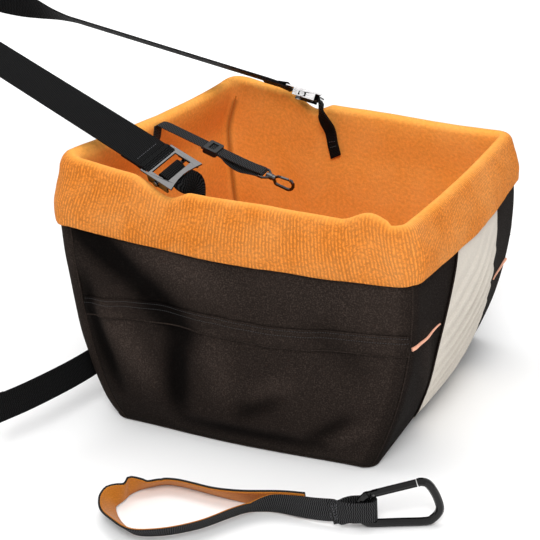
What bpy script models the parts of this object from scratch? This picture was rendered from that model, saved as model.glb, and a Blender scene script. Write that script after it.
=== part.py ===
"""Dog booster car seat: a soft open tub whose walls hold stiff boards, lined with a cloth that
turns over the rim as a deep cuff. A headrest strap with two metal adjusters, a seat-back strap,
a tether with a snap hook inside and a loose belt tether with a carabiner go with it.
Units are metres, +Z is up, +X is the front of the tub and -Y is its near side."""

import bisect
import math

import bmesh
import bpy
from mathutils import Matrix, Vector

# Plan of the tub's outer face at the base, at the belly and at the rim
BASE_BACK_X = -0.166
BASE_FRONT_X = 0.144
BELLY_BACK_X = -0.202
BELLY_FRONT_X = 0.194
RIM_BACK_X = -0.178
RIM_FRONT_X = 0.182
BASE_BACK_HALF = 0.167
BASE_FRONT_HALF = 0.162
BELLY_BACK_HALF = 0.186
BELLY_FRONT_HALF = 0.166
RIM_BACK_HALF = 0.177
RIM_FRONT_HALF = 0.160
BACK_CORNER_RADIUS = 0.022
FRONT_CORNER_RADIUS = 0.014
SIDE_BULGE = 0.004
FRONT_BULGE = 0.009
BACK_BULGE = 0.003
BASE_BULGE = 0.005
BACK_BELLY_POWER = 0.6
FRONT_BELLY_POWER = 0.85

# Rim: its height at the corners, how far it sags, the fold near the front and the dips under
# the two buckles
BACK_RIM_HEIGHT = 0.305
FRONT_RIM_HEIGHT = 0.266
SIDE_SAG = 0.007
END_SAG = 0.004
RIM_FOLD = 0.010
BUCKLE_DIP = 0.015
FOLD_SHARE = 0.94
FOLD_REACH_SHARE = 0.09
BUCKLE_SHARE = 0.28
DIP_SHARE = 0.285
DIP_REACH_SHARE = 0.12

# Layers of the walls and the base, from outside to inside
SHELL = 0.0014
BOARD = 0.0022
LINER = 0.0018
BASE_BOARD = 0.0030
LAYER_GAP = 0.0008
SEAM_GAP = 0.0007
PAD_EDGE = 0.0090
PAD_CROWN = 0.0060
PAD_SIDE_INSET = 0.0020
PAD_CLEARANCE = 0.0010

# Cuff: how far it stands off the shell and hangs down
CUFF_STAND = 0.0080
CUFF_LOW_STAND = 0.0045
CUFF_PUFF = 0.0035
BACK_CUFF_DROP = 0.069
FRONT_CUFF_DROP = 0.053

# Pockets on the two sides: a patch with a flap over its mouth
PATCH = 0.0014
POCKET_FOOT = 0.004
POCKET_BELLY = 0.002
FLAP_TOP = 0.157
FLAP_DROP = 0.020
FLAP_LAP = 0.004
FLAP_WAVE = 0.008
FLAP_HEM = 0.005

# Grey panel of the front wall and the piping on both sides of it
PANEL_FOOT = 0.010
PANEL_TUCK = 0.010
PANEL_NEAR_SHARE = 0.33
PANEL_FAR_SHARE = 0.88
PIPING_WIDTH = 0.0040
PIPING_HEIGHT = 0.0025
NEAR_PIPING_HEIGHT = 0.143
FAR_PIPING_HEIGHT = 0.112
PIPING_GAP_SHARE = 0.014
PIPING_TURN_SHARE = 0.35

# Webbing
STRAP_WIDTH = 0.038
STRAP = 0.0016
ANCHOR_WIDTH = 0.025
ANCHOR = 0.0014
LOWER_WIDTH = 0.030
TETHER_WIDTH = 0.016
TETHER = 0.0014
BELT_WIDTH = 0.025
BELT = 0.0014
LINING = 0.0008
LINING_INSET = 0.0010
WEB_GAP = 0.0004
RUN_GAP = 0.0003

# Headrest strap: where the buckles sit over the rim, where the strap heads and its far turn
BUCKLE_INSET = 0.0162
BUCKLE_RISE = 0.0252
STRAP_IN_SLOPE = 0.249
STRAP_RISE_SLOPE = 0.324
STRAP_RUN = 0.420
TURN_DEPTH = 0.062
TURN_RISE = 0.014
STRAP_LAP = 0.033
BUCKLE_TWIST = math.radians(67)
TWIST_END_SHARE = 0.68

# Strap buckle: plate, end slot and bar, window, flanges and the sliding lock bar
PLATE = 0.0020
PLATE_WIDTH = 0.044
LIP_END = -0.021
LIP_HOLLOW = 0.005
WINDOW_START = -0.010
WINDOW_END = 0.012
WINDOW_WIDTH = 0.032
SLOT_START = 0.0165
SLOT_END = 0.0215
SLOT_WIDTH = 0.0392
BAR_END = 0.0240
FLANGE_DEPTH = 0.0100
FLANGE_HALF = 0.014
LOCK_BAR_RADIUS = 0.0020
LOCK_BAR_DEPTH = 0.0062
LOCK_BAR_PLACE = 0.0020
LOCK_BAR_TRAVEL = 0.0020
LOCK_HEAD_RADIUS = 0.0034
LOCK_HEAD = 0.0014

# Anchor webbing: how far it runs forward and down inside the wall and stands off it, and the
# shares of these that its places take, with how far its width has turned to the wall's
ANCHOR_REACH = 0.0565
ANCHOR_DROP = 0.066
ANCHOR_STAND = 0.0135
ANCHOR_LIFT = 0.0016
ANCHOR_LEAN = 0.33
ANCHOR_SHARES = ((0.61, 0.02, 1.0, 0.42), (0.74, 0.24, 0.85, 0.80), (0.83, 0.50, 0.10, 1.0),
                 (0.90, 0.75, 0.03, 1.0), (1.0, 1.0, 0.0, 1.0))

# Seat-back strap across the back wall, with the tabs that it runs under
LOWER_HEIGHT = 0.062
LOWER_REACH = 0.142
LOWER_KICK = 0.036
LOWER_HEM = 0.022
TAB_WIDTH = 0.046
TAB_END = 0.008
TAB_EASE = 0.0012

# Tether inside: from the back wall to the snap hook
TETHER_Y = -0.017
TETHER_LAP = 0.018
TETHER_TOP_DROP = 0.010
TETHER_LIFT = 0.0050
TETHER_START = 0.020
TETHER_REST = 0.004
TETHER_LENGTH = 0.128
TETHER_SIDE_SLOPE = 0.067
TETHER_FALL_SLOPE = 0.400
SLIDER_PLACE = 0.065
SLIDER_LENGTH = 0.017
SLIDER_WIDTH = 0.0215
SLIDER_WALL = 0.0016
TETHER_SAG = 0.007

# Snap hook of the tether
EYE_BAR = 0.0015
EYE_LENGTH = 0.0085
COLLAR_START = 0.0078
COLLAR_END = 0.0126
COLLAR_RADIUS = 0.0037
SHANK_RADIUS = 0.0019
HEAD_RADIUS = 0.0030
HEAD_THICKNESS = 0.0020
SHOULDER_RADIUS = 0.0034
SHOULDER_LENGTH = 0.0034
HOOK_RADIUS = 0.0019
HOOK_BEND = 0.0060
HOOK_LENGTH = 0.0185
HOOK_LUG = 0.0016
HOOK_PIN = 0.0007

# Carabiner of the belt tether
ROD = 0.0040
CARABINER_YAW = math.radians(25.6)
CARABINER_X = 0.181
CARABINER_Y = -0.251
LONG_BAR = 0.050
NARROW_END = 0.0125
NARROW_HEIGHT = 0.035
WIDE_END = 0.0130
WIDE_HEIGHT = 0.047
CARABINER_LUG = 0.0030
CARABINER_PIN = 0.0012
GATE_NOSE_GAP = 0.0009
BELT_SPAN = 0.250
LOOP_PLAY = 0.0016
LOOP_WIDTH_SHARE = 0.86
LOOP_REACH = 0.0165
SPRING_RADIUS = 0.0011
SPRING_LENGTH = 0.010

FIT = 0.0003
OVERRUN = 0.002

# Steps of the meshes
ROW_SHARES = (0.0, 0.12, 0.3, 0.5, 0.75, 0.85, 0.93, 1.0)
BELLY_SHARE = 0.75
BELLY_ROW = ROW_SHARES.index(BELLY_SHARE)
NEAR_SHARES = (0.0, 0.1, 0.17, 0.22, 0.28, 0.34, 0.4, 0.55, 0.7, 0.85, 0.94, 1.0)
FRONT_SHARES = (0.0, 0.17, PANEL_NEAR_SHARE, 0.5, 0.7, PANEL_FAR_SHARE, 1.0)
BACK_SHARES = (0.0, 0.2, 0.4, 0.6, 0.8, 1.0)
FAR_SHARES = tuple(1 - share for share in reversed(NEAR_SHARES))
CORNER_STEPS = 6
ROLL_STEPS = 6
CUFF_ROWS = 4
TURN_STEPS = 8
ROUND = 12
SAME_PLACE = 1e-6

# Offsets of each layer's middle from the outer face, negative inward
SHELL_MIDDLE = -SHELL / 2
BOARD_MIDDLE = -SHELL - LAYER_GAP - BOARD / 2
LINER_MIDDLE = -SHELL - LAYER_GAP - BOARD - LAYER_GAP - LINER / 2
LINER_FACE = LINER_MIDDLE - LINER / 2
CUFF_MIDDLE = CUFF_STAND + LINER / 2
CUFF_LOW_MIDDLE = CUFF_LOW_STAND + LINER / 2
ROLL_RADIUS = (CUFF_MIDDLE - LINER_MIDDLE) / 2
ROLL_MIDDLE = (CUFF_MIDDLE + LINER_MIDDLE) / 2

# Heights of the base's layers
BASE_BOARD_Z = SHELL + LAYER_GAP
FLOOR_LINER_Z = BASE_BOARD_Z + BASE_BOARD + LAYER_GAP
PAD_Z = FLOOR_LINER_Z + LINER + LAYER_GAP

UP = Vector((0, 0, 1))
NEAR = -1
FAR = 1


# Materials and objects


def material(name, colour, roughness, metallic=0.0):
    found = bpy.data.materials.get(name)
    if found:
        return found
    made = bpy.data.materials.new(name)
    made.use_nodes = True
    shader = made.node_tree.nodes["Principled BSDF"]
    shader.inputs["Base Color"].default_value = (*colour, 1)
    shader.inputs["Roughness"].default_value = roughness
    shader.inputs["Metallic"].default_value = metallic
    made.diffuse_color = (*colour, 1)
    return made


BLACK_CLOTH = ("black_cloth", (0.020, 0.016, 0.014), 0.85)
ORANGE_CLOTH = ("orange_cloth", (0.72, 0.27, 0.06), 0.75)
GREY_CLOTH = ("grey_cloth", (0.50, 0.48, 0.44), 0.85)
SALMON_CLOTH = ("salmon_cloth", (0.76, 0.42, 0.28), 0.80)
WEBBING = ("webbing", (0.030, 0.030, 0.033), 0.75)
FIBREBOARD = ("fibreboard", (0.30, 0.22, 0.15), 0.90)
STEEL = ("steel", (0.62, 0.62, 0.62), 0.25, 1.0)
BLACK_METAL = ("black_metal", (0.015, 0.015, 0.016), 0.25, 0.3)
BLACK_PLASTIC = ("black_plastic", (0.018, 0.018, 0.019), 0.40)


def add_object(name, mesh, finish):
    """A named object with its own material."""
    label, *values = finish
    mesh.materials.append(material(f"{name}_{label}", *values))
    made = bpy.data.objects.new(name, mesh)
    bpy.context.scene.collection.objects.link(made)
    return made


def mesh_object(name, bm, finish, sharp=math.radians(40)):
    bmesh.ops.recalc_face_normals(bm, faces=bm.faces)
    mesh = bpy.data.meshes.new(name)
    bm.to_mesh(mesh)
    bm.free()
    mesh.shade_smooth()
    mesh.set_sharp_from_angle(angle=sharp)
    return add_object(name, mesh, finish)


def sheet(name, columns, rows, place, thickness, finish):
    """A cloth, board or strap: a grid placed on its middle surface, then given its thickness."""
    bm = bmesh.new()
    bmesh.ops.create_grid(bm, x_segments=columns, y_segments=rows, size=0.5)
    for vert in bm.verts:
        column = round((vert.co.x + 0.5) * columns)
        row = round((vert.co.y + 0.5) * rows)
        vert.co = place(column, row)
    mesh = bpy.data.meshes.new(name)
    bm.to_mesh(mesh)
    bm.free()
    mesh.shade_smooth()
    made = add_object(name, mesh, finish)
    solid = made.modifiers.new("thickness", "SOLIDIFY")
    solid.thickness = thickness
    solid.offset = 0
    return made


def loft(name, rings, finish):
    """A closed solid through rings of equally many points, capped at both ends."""
    bm = bmesh.new()
    loops = [[bm.verts.new(point) for point in ring] for ring in rings]
    count = len(rings[0])
    for low, high in zip(loops, loops[1:]):
        for k in range(count):
            other = (k + 1) % count
            bm.faces.new((low[k], low[other], high[other], high[k]))
    bm.faces.new(reversed(loops[0]))
    bm.faces.new(loops[-1])
    return mesh_object(name, bm, finish)


def prism(name, outline, bottom, top, finish):
    """An outline in X and Y, extruded from one height to another."""
    rings = [[Vector((x, y, z)) for x, y in outline] for z in (bottom, top)]
    return loft(name, rings, finish)


def block(name, low, high, finish):
    """A box between two corners."""
    outline = [(low[0], low[1]), (high[0], low[1]), (high[0], high[1]), (low[0], high[1])]
    return prism(name, outline, low[2], high[2], finish)


def turned(name, profile, start, axis, finish, sides=ROUND):
    """A solid turned about an axis: the profile holds (distance along it, radius)."""
    axis = axis.normalized()
    across = axis.orthogonal().normalized()
    other = axis.cross(across)
    rings = []
    for along, radius in profile:
        centre = start + axis * along
        ring = []
        for k in range(sides):
            angle = math.tau * k / sides
            ring.append(centre + radius * (across * math.cos(angle) + other * math.sin(angle)))
        rings.append(ring)
    return loft(name, rings, finish)


def rod(name, start, end, radius, finish):
    return turned(name, [(0, radius), ((end - start).length, radius)], start, end - start, finish)


def tube(name, points, radius, finish, cyclic=False):
    """A round tube along points."""
    curve = bpy.data.curves.new(name, "CURVE")
    curve.dimensions = "3D"
    curve.bevel_depth = radius
    curve.bevel_resolution = 3
    curve.use_fill_caps = True
    spline = curve.splines.new("POLY")
    spline.points.add(len(points) - 1)
    for target, point in zip(spline.points, points):
        target.co = (*point, 1)
    spline.use_cyclic_u = cyclic
    made = bpy.data.objects.new(name, curve)
    bpy.context.scene.collection.objects.link(made)
    curve.materials.append(material(f"{name}_{finish[0]}", *finish[1:]))
    return made


def as_mesh(made):
    """The same object with its curve turned into a mesh."""
    depsgraph = bpy.context.evaluated_depsgraph_get()
    mesh = bpy.data.meshes.new_from_object(made.evaluated_get(depsgraph))
    name = made.name
    bpy.data.objects.remove(made)
    fresh = bpy.data.objects.new(name, mesh)
    bpy.context.scene.collection.objects.link(fresh)
    mesh.shade_smooth()
    return fresh


def combine(target, other, operation):
    """Joins or cuts the target by another solid, which stays as a hidden guide."""
    other.hide_render = True
    other.display_type = "WIRE"
    change = target.modifiers.new(operation.lower(), "BOOLEAN")
    change.operation = operation
    change.solver = "EXACT"
    change.object = other


def cut(target, *tools):
    for tool in tools:
        combine(target, tool, "DIFFERENCE")


def join(target, *others):
    for other in others:
        combine(target, other, "UNION")


def frame(origin, along, across):
    """A right-handed frame whose X runs along, whose Y lies across and whose Z is their normal."""
    x = along.normalized()
    z = x.cross(across).normalized()
    y = z.cross(x)
    matrix = Matrix((x, y, z)).transposed().to_4x4()
    matrix.translation = origin
    return matrix


def put(matrix, *objects):
    for made in objects:
        made.matrix_world = matrix @ made.matrix_world


def smooth(share):
    return share * share * (3 - 2 * share)


def pulse(value, centre, reach):
    """A smooth bump of height 1 at its centre that ends at its reach."""
    distance = abs(value - centre) / reach
    return smooth(1 - distance) if distance < 1 else 0.0


# Plan of the tub. A place round it is a number from 0 to 8: each corner's arc takes the first
# half of a pair and the side after it the second, from the near back corner by the near side.

CORNER_RADII = (BACK_CORNER_RADIUS, FRONT_CORNER_RADIUS, FRONT_CORNER_RADIUS, BACK_CORNER_RADIUS)
SIDE_BULGES = (SIDE_BULGE, FRONT_BULGE, SIDE_BULGE, BACK_BULGE)
SIDE_STEPS = (NEAR_SHARES, FRONT_SHARES, FAR_SHARES, BACK_SHARES)
CORNER_HEIGHTS = (BACK_RIM_HEIGHT, FRONT_RIM_HEIGHT, FRONT_RIM_HEIGHT, BACK_RIM_HEIGHT)


def plan_size(share, base, belly, rim, power=BACK_BELLY_POWER):
    """A size of the plan at a share of the height: out to the belly, then back to the rim."""
    if share <= BELLY_SHARE:
        rise = (share / BELLY_SHARE) ** power
        return base + (belly - base) * math.sin(math.pi / 2 * rise)
    return belly + (rim - belly) * smooth((share - BELLY_SHARE) / (1 - BELLY_SHARE))


def plan_corners(share):
    back = plan_size(share, BASE_BACK_X, BELLY_BACK_X, RIM_BACK_X)
    front = plan_size(share, BASE_FRONT_X, BELLY_FRONT_X, RIM_FRONT_X, FRONT_BELLY_POWER)
    back_half = plan_size(share, BASE_BACK_HALF, BELLY_BACK_HALF, RIM_BACK_HALF)
    front_half = plan_size(share, BASE_FRONT_HALF, BELLY_FRONT_HALF, RIM_FRONT_HALF)
    return [Vector((back, -back_half)), Vector((front, -front_half)),
            Vector((front, front_half)), Vector((back, back_half))]


def side_normal(corners, side):
    along = (corners[(side + 1) % 4] - corners[side % 4]).normalized()
    return Vector((along.y, -along.x))


def arc_centre(corners, corner):
    corner %= 4
    before = side_normal(corners, corner + 3)
    after = side_normal(corners, corner)
    return corners[corner] - CORNER_RADII[corner] * (before + after) / (1 + before.dot(after))


def plan_point(share, place, out):
    """A point of the plan at a share of the height, moved outward."""
    corners = plan_corners(share)
    whole = math.floor(place)
    part = place - whole
    corner, on_side = divmod(whole % 8, 2)
    after = side_normal(corners, corner)
    radius = CORNER_RADII[corner] + out
    if not on_side:
        before = side_normal(corners, corner + 3)
        turn = before.angle_signed(after)
        direction = before.copy()
        direction.rotate(Matrix.Rotation(-turn * part, 2))
        return arc_centre(corners, corner) + direction * radius
    start = arc_centre(corners, corner) + after * radius
    end = arc_centre(corners, corner + 1) + after * (CORNER_RADII[(corner + 1) % 4] + out)
    swell = SIDE_BULGES[corner] * math.sin(math.pi * share)
    if corner in (0, 2):
        swell = max(swell, BASE_BULGE * (1 - share / BELLY_SHARE))
    return start.lerp(end, part) + after * swell * (4 * part * (1 - part)) ** 2


def plain_rim_height(place):
    """Height of the rim's top at a shared place, without its fold and dips."""
    whole = math.floor(place)
    part = place - whole
    corner, on_side = divmod(whole % 8, 2)
    start = CORNER_HEIGHTS[corner]
    if not on_side:
        return start
    end = CORNER_HEIGHTS[(corner + 1) % 4]
    lengthwise = corner in (0, 2)
    sag = SIDE_SAG if lengthwise else END_SAG
    return start + (end - start) * part - sag * 4 * part * (1 - part)


def rim_change(place):
    """The rim's fold near the front, and its dips under the two buckles."""
    if 1 < place < 2:
        part = place - 1
        return (RIM_FOLD * pulse(part, FOLD_SHARE, FOLD_REACH_SHARE)
                - BUCKLE_DIP * pulse(part, DIP_SHARE, DIP_REACH_SHARE))
    if 5 < place < 6:
        return -BUCKLE_DIP * pulse(6 - place, DIP_SHARE, DIP_REACH_SHARE)
    return 0.0


def shared_places():
    """The places where every layer has a column, so that the layers stay parallel."""
    found = []
    for whole in range(8):
        corner, on_side = divmod(whole, 2)
        corner_steps = [step / CORNER_STEPS for step in range(CORNER_STEPS)]
        steps = SIDE_STEPS[corner][:-1] if on_side else corner_steps
        found += [whole + step for step in steps]
    return found


SHARED_PLACES = shared_places()
PLAIN_HEIGHTS = [plain_rim_height(place) for place in SHARED_PLACES]
RIM_HEIGHTS = [plain + rim_change(place) for plain, place in zip(PLAIN_HEIGHTS, SHARED_PLACES)]


def between(place):
    """The shared places before and after a place, and how far it lies between them."""
    turns, local = divmod(place, 8)
    index = bisect.bisect_right(SHARED_PLACES, local + SAME_PLACE) - 1
    before = SHARED_PLACES[index]
    after = SHARED_PLACES[index + 1] if index + 1 < len(SHARED_PLACES) else 8
    part = max(local - before, 0) / (after - before)
    return index, (index + 1) % len(SHARED_PLACES), part


def rim_height(place, heights=RIM_HEIGHTS):
    """Height of the rim's top, straight between the shared places."""
    index, following, part = between(place)
    return heights[index] + (heights[following] - heights[index]) * part


def wall_point(place, height, out):
    """A point of the wall's outer face, moved outward, on the facets that all layers share."""
    index, following, part = between(place)
    share = min(max(height / rim_height(place), 0), 1)
    upper = next(row for row in ROW_SHARES[1:] if row >= share)
    lower = ROW_SHARES[ROW_SHARES.index(upper) - 1]
    across = (share - lower) / (upper - lower)
    ends = []
    for column in (SHARED_PLACES[index], SHARED_PLACES[following]):
        low = plan_point(lower, column, out)
        ends.append(low.lerp(plan_point(upper, column, out), across))
    point = ends[0].lerp(ends[1], part)
    return Vector((point.x, point.y, height))


def places(start, end):
    """Places round the tub from one to another, with every shared place between them."""
    found = [start]
    for turn in range(2):
        found += [8 * turn + place for place in SHARED_PLACES]
    inner = [place for place in found if start + SAME_PLACE < place < end - SAME_PLACE]
    return [start, *inner, end]


def side_place(side, share):
    return 2 * side + 1 + share


def seam_share(side, gap):
    """A length along a side as a share of it."""
    corners = plan_corners(1)
    return gap / (corners[(side + 1) % 4] - corners[side]).length


def place_at_x(side, x):
    """The place on the near or the far side that has this X at the rim."""
    start = plan_point(1, side_place(side, 0), 0).x
    end = plan_point(1, side_place(side, 1) - FIT, 0).x
    return side_place(side, (x - start) / (end - start))


def cuff_drop(place):
    """How far the cuff hangs down, from its back value to its front value along X."""
    x = plan_point(1, place, 0).x
    share = (x - RIM_BACK_X) / (RIM_FRONT_X - RIM_BACK_X)
    share = min(max(share, 0), 1)
    return BACK_CUFF_DROP + (FRONT_CUFF_DROP - BACK_CUFF_DROP) * share


def roll_height(place):
    """Height of the centre that the liner rolls over at the rim."""
    return rim_height(place) - LINER / 2 - ROLL_RADIUS


# Tub


def wall_sheet(name, start, end, foot, middle, thickness, finish):
    """A layer of the wall from its foot up to under the roll of the liner."""
    steps = places(start, end)
    columns = []
    for place in steps:
        rim = rim_height(place)
        heights = [foot] + [share * rim for share in ROW_SHARES[1:-1]]
        heights.append(roll_height(place) - LAYER_GAP)
        columns.append([wall_point(place, height, middle) for height in heights])
    last = len(ROW_SHARES) - 1
    return sheet(name, len(steps) - 1, last, lambda c, r: columns[c][r], thickness, finish)


def liner_column(place):
    """The liner from its foot, over the rim and down outside as the cuff."""
    rim = rim_height(place)
    centre = roll_height(place)
    points = [wall_point(place, PAD_Z, LINER_MIDDLE)]
    points += [wall_point(place, share * rim, LINER_MIDDLE) for share in ROW_SHARES[1:-1]]
    for step in range(ROLL_STEPS + 1):
        angle = math.pi * step / ROLL_STEPS
        out = ROLL_MIDDLE - ROLL_RADIUS * math.cos(angle)
        points.append(wall_point(place, centre + ROLL_RADIUS * math.sin(angle), out))
    low = rim_height(place, PLAIN_HEIGHTS) - cuff_drop(place)
    for row in range(1, CUFF_ROWS + 1):
        share = row / CUFF_ROWS
        out = CUFF_MIDDLE + (CUFF_LOW_MIDDLE - CUFF_MIDDLE) * share
        out += CUFF_PUFF * math.sin(math.pi * share)
        points.append(wall_point(place, centre + (low - centre) * share, out))
    return points


def make_walls():
    """The outer shell's four panels; the back one wraps both back corners."""
    near = seam_share(0, SEAM_GAP)
    far = seam_share(2, SEAM_GAP)
    corner = SEAM_GAP / 2 / (math.pi / 2 * (FRONT_CORNER_RADIUS + SHELL_MIDDLE))
    spans = {"near_wall": (1 + near, 2.5 - corner), "front_wall": (2.5 + corner, 4.5 - corner),
             "far_wall": (4.5 + corner, 6 - far), "back_wall": (6, 9)}
    for name, (start, end) in spans.items():
        wall_sheet(name, start, end, BASE_BOARD_Z, SHELL_MIDDLE, SHELL, BLACK_CLOTH)
    for side, name in enumerate(("near_board", "front_board", "far_board", "back_board")):
        wall_sheet(name, side_place(side, 0), side_place(side, 1) - FIT, FLOOR_LINER_Z,
                   BOARD_MIDDLE, BOARD, FIBREBOARD)


def make_liners():
    """The liner's four panels, each with its part of the cuff, parted in the corners."""
    front = SEAM_GAP / 2 / (math.pi / 2 * (FRONT_CORNER_RADIUS + LINER_FACE))
    back = SEAM_GAP / 2 / (math.pi / 2 * (BACK_CORNER_RADIUS + LINER_FACE))
    spans = {"near_liner": (0.5 + back, 2.5 - front), "front_liner": (2.5 + front, 4.5 - front),
             "far_liner": (4.5 + front, 6.5 - back), "back_liner": (6.5 + back, 8.5 - back)}
    for name, (start, end) in spans.items():
        columns = [liner_column(place) for place in places(start, end)]
        sheet(name, len(columns) - 1, len(columns[0]) - 1, lambda c, r, of=columns: of[c][r],
              LINER, ORANGE_CLOTH)


def base_outline(out):
    return [plan_point(0, place, out) for place in places(0, 8)[:-1]]


def make_base():
    """Base cloth, base board and floor liner, stacked inside the foot of the walls."""
    inside_shell = -SHELL - LAYER_GAP
    inside_boards = inside_shell - BOARD - LAYER_GAP
    prism("base_cloth", base_outline(0), 0, SHELL, BLACK_CLOTH)
    prism("base_board", base_outline(inside_shell), BASE_BOARD_Z, BASE_BOARD_Z + BASE_BOARD,
          FIBREBOARD)
    prism("liner_floor", base_outline(inside_boards), FLOOR_LINER_Z, FLOOR_LINER_Z + LINER,
          ORANGE_CLOTH)


def make_floor_pad():
    """A loose cushion on the floor, with drawn-in sides and a crown."""
    edge = LINER_FACE - PAD_CLEARANCE
    outline = base_outline(edge)
    centre = Vector(((BASE_BACK_X + BASE_FRONT_X) / 2, 0))
    inset_share = PAD_SIDE_INSET / BASE_BACK_HALF
    levels = [(0, 1 - inset_share), (PAD_EDGE * 0.3, 1), (PAD_EDGE * 0.7, 1),
              (PAD_EDGE, 1 - inset_share)]
    for share in (0.88, 0.7, 0.45, 0.2):
        levels.append((PAD_EDGE + PAD_CROWN * math.cos(math.pi / 2 * share), share))
    rings = []
    for height, share in levels:
        rings.append([(*centre.lerp(point, share), PAD_Z + height) for point in outline])
    loft("floor_pad", rings, ORANGE_CLOTH)


FLAP_WAVE_SHARES = (-0.6, 0.0, 0.9, 0.9, 0.5, 0.2, -0.4, -0.8, -0.6, 0.0, 0.2, 0.4)


def flap_line(side, place):
    """How far the flap's lines rise or fall here, the same on both sides of the tub."""
    part = place - side_place(side, 0)
    part = part if side == 0 else 1 - part
    part = min(max(part, 0), 1) * (len(FLAP_WAVE_SHARES) - 1)
    low = min(int(part), len(FLAP_WAVE_SHARES) - 2)
    ends = FLAP_WAVE_SHARES[low], FLAP_WAVE_SHARES[low + 1]
    return FLAP_WAVE / 2 * (ends[0] + (ends[1] - ends[0]) * (part - low))


def make_pocket(prefix, side, start, end):
    """A flat patch sewn to the wall and the flap whose free edge hangs over its mouth."""
    steps = places(start, end)
    patch = LAYER_GAP + PATCH / 2
    over = patch + PATCH + LAYER_GAP
    columns = []
    flaps = []
    for place in steps:
        part = (place - start) / (end - start)
        swell = POCKET_BELLY * math.sin(math.pi * part)
        top = FLAP_TOP + flap_line(side, place)
        mouth = top - FLAP_LAP - LAYER_GAP - PATCH
        rim = rim_height(place)
        heights = [POCKET_FOOT]
        heights += [min(share * rim, mouth - PATCH) for share in ROW_SHARES[1:BELLY_ROW]]
        heights.append(mouth)
        column = []
        for height in heights:
            share = (height - POCKET_FOOT) / (mouth - POCKET_FOOT)
            out = patch + swell * math.sin(math.pi * share)
            column.append(wall_point(place, height, out))
        columns.append(column)
        flap = [wall_point(place, top, patch), wall_point(place, top - FLAP_LAP / 2, patch)]
        for share in (0, 0.5, 1):
            drop = FLAP_LAP + (FLAP_DROP - FLAP_LAP) * share
            flap.append(wall_point(place, top - drop, over + swell * share / 2))
        flaps.append(flap)
    for name, grid in ((f"{prefix}_pocket", columns), (f"{prefix}_pocket_flap", flaps)):
        sheet(name, len(steps) - 1, len(grid[0]) - 1, lambda c, r, of=grid: of[c][r], PATCH,
              BLACK_CLOTH)


def make_pockets():
    inset = seam_share(0, FLAP_HEM)
    make_pocket("near", 0, side_place(0, inset), side_place(0, 1) + 0.4)
    make_pocket("far", 2, side_place(2, 0) - 0.4, side_place(2, 1) - inset)


def make_front_panel():
    """The grey panel sewn on the front wall; its head goes up behind the cuff."""
    steps = places(side_place(1, PANEL_NEAR_SHARE), side_place(1, PANEL_FAR_SHARE))
    columns = []
    for place in steps:
        rim = rim_height(place)
        top = rim - FRONT_CUFF_DROP + PANEL_TUCK
        heights = [PANEL_FOOT]
        heights += [share * rim for share in ROW_SHARES[1:BELLY_ROW + 1]] + [top]
        columns.append([wall_point(place, height, LAYER_GAP + PATCH / 2) for height in heights])
    sheet("front_panel", len(steps) - 1, len(columns[0]) - 1, lambda c, r: columns[c][r], PATCH,
          GREY_CLOTH)


def make_piping():
    """A strip of piping across each black strip beside the grey panel."""
    near_end = side_place(1, PANEL_NEAR_SHARE - PIPING_GAP_SHARE)
    far_end = side_place(1, PANEL_FAR_SHARE + PIPING_GAP_SHARE)
    ends = {"near_piping": (NEAR_PIPING_HEIGHT, 3 - PIPING_TURN_SHARE, near_end),
            "far_piping": (FAR_PIPING_HEIGHT, far_end, 4 + PIPING_TURN_SHARE)}
    for name, (height, start, end) in ends.items():
        steps = places(start, end)

        def place(column, row, steps=steps, height=height):
            lift = height + PIPING_WIDTH * (row - 0.5)
            return wall_point(steps[column], lift, LAYER_GAP + PIPING_HEIGHT / 2)

        sheet(name, len(steps) - 1, 1, place, PIPING_HEIGHT, SALMON_CLOTH)


# Webbing


def spline(points, steps):
    """Points of a smooth curve through the given vectors."""
    ends = [2 * points[0] - points[1], *points, 2 * points[-1] - points[-2]]
    found = []
    for k in range(1, len(ends) - 2):
        p0, p1, p2, p3 = ends[k - 1:k + 3]
        for step in range(steps):
            t = step / steps
            found.append(((2 * p1) + (p2 - p0) * t + (2 * p0 - 5 * p1 + 4 * p2 - p3) * t ** 2
                          + (3 * p1 - p0 - 3 * p2 + p3) * t ** 3) / 2)
    return found + [points[-1].copy()]


def ribbon_frames(points, widths):
    """Along a ribbon's middle: each point with its unit width and its unit normal."""
    frames = []
    last = len(points) - 1
    for k, (point, width) in enumerate(zip(points, widths)):
        along = (points[min(k + 1, last)] - points[max(k - 1, 0)]).normalized()
        width = (width - along * width.dot(along)).normalized()
        frames.append((point, width, width.cross(along).normalized()))
    return frames


def shifted(frames, distance):
    """The same ribbon moved along its normals."""
    return [(point + normal * distance, width, normal) for point, width, normal in frames]


def ribbon(name, frames, width, thickness, finish, shares=None):
    """A flat strap along its frames."""
    shares = shares or [1] * len(frames)

    def place(column, row):
        point, across, _ = frames[column]
        return point + across * width * shares[column] * (row - 0.5)

    return sheet(name, len(frames) - 1, 1, place, thickness, finish)


def bend(centre, start, end, width, steps=TURN_STEPS):
    """Half a turn round a centre, from one radius vector through another at a right angle."""
    frames = []
    for step in range(steps + 1):
        angle = math.pi * step / steps
        radial = start * math.cos(angle) + end * math.sin(angle)
        frames.append((centre + radial, width, radial.normalized()))
    return frames


def mirrored(vector, side):
    return Vector((vector.x, -vector.y * side, vector.z))


def strap_direction(side):
    """From a buckle towards the headrest: back, inward and up."""
    return mirrored(Vector((-1, STRAP_IN_SLOPE, STRAP_RISE_SLOPE)).normalized(), side)


def strap_width(side, twist):
    """The strap's width direction, turned from upright about the strap's run."""
    along = strap_direction(NEAR).normalized()
    upright = (UP - along * UP.dot(along)).normalized()
    width = upright * math.cos(twist) + along.cross(upright) * math.sin(twist)
    return mirrored(width, side)


def buckle_place(side):
    return side_place(0, BUCKLE_SHARE) if side == NEAR else side_place(2, 1 - BUCKLE_SHARE)


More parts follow.
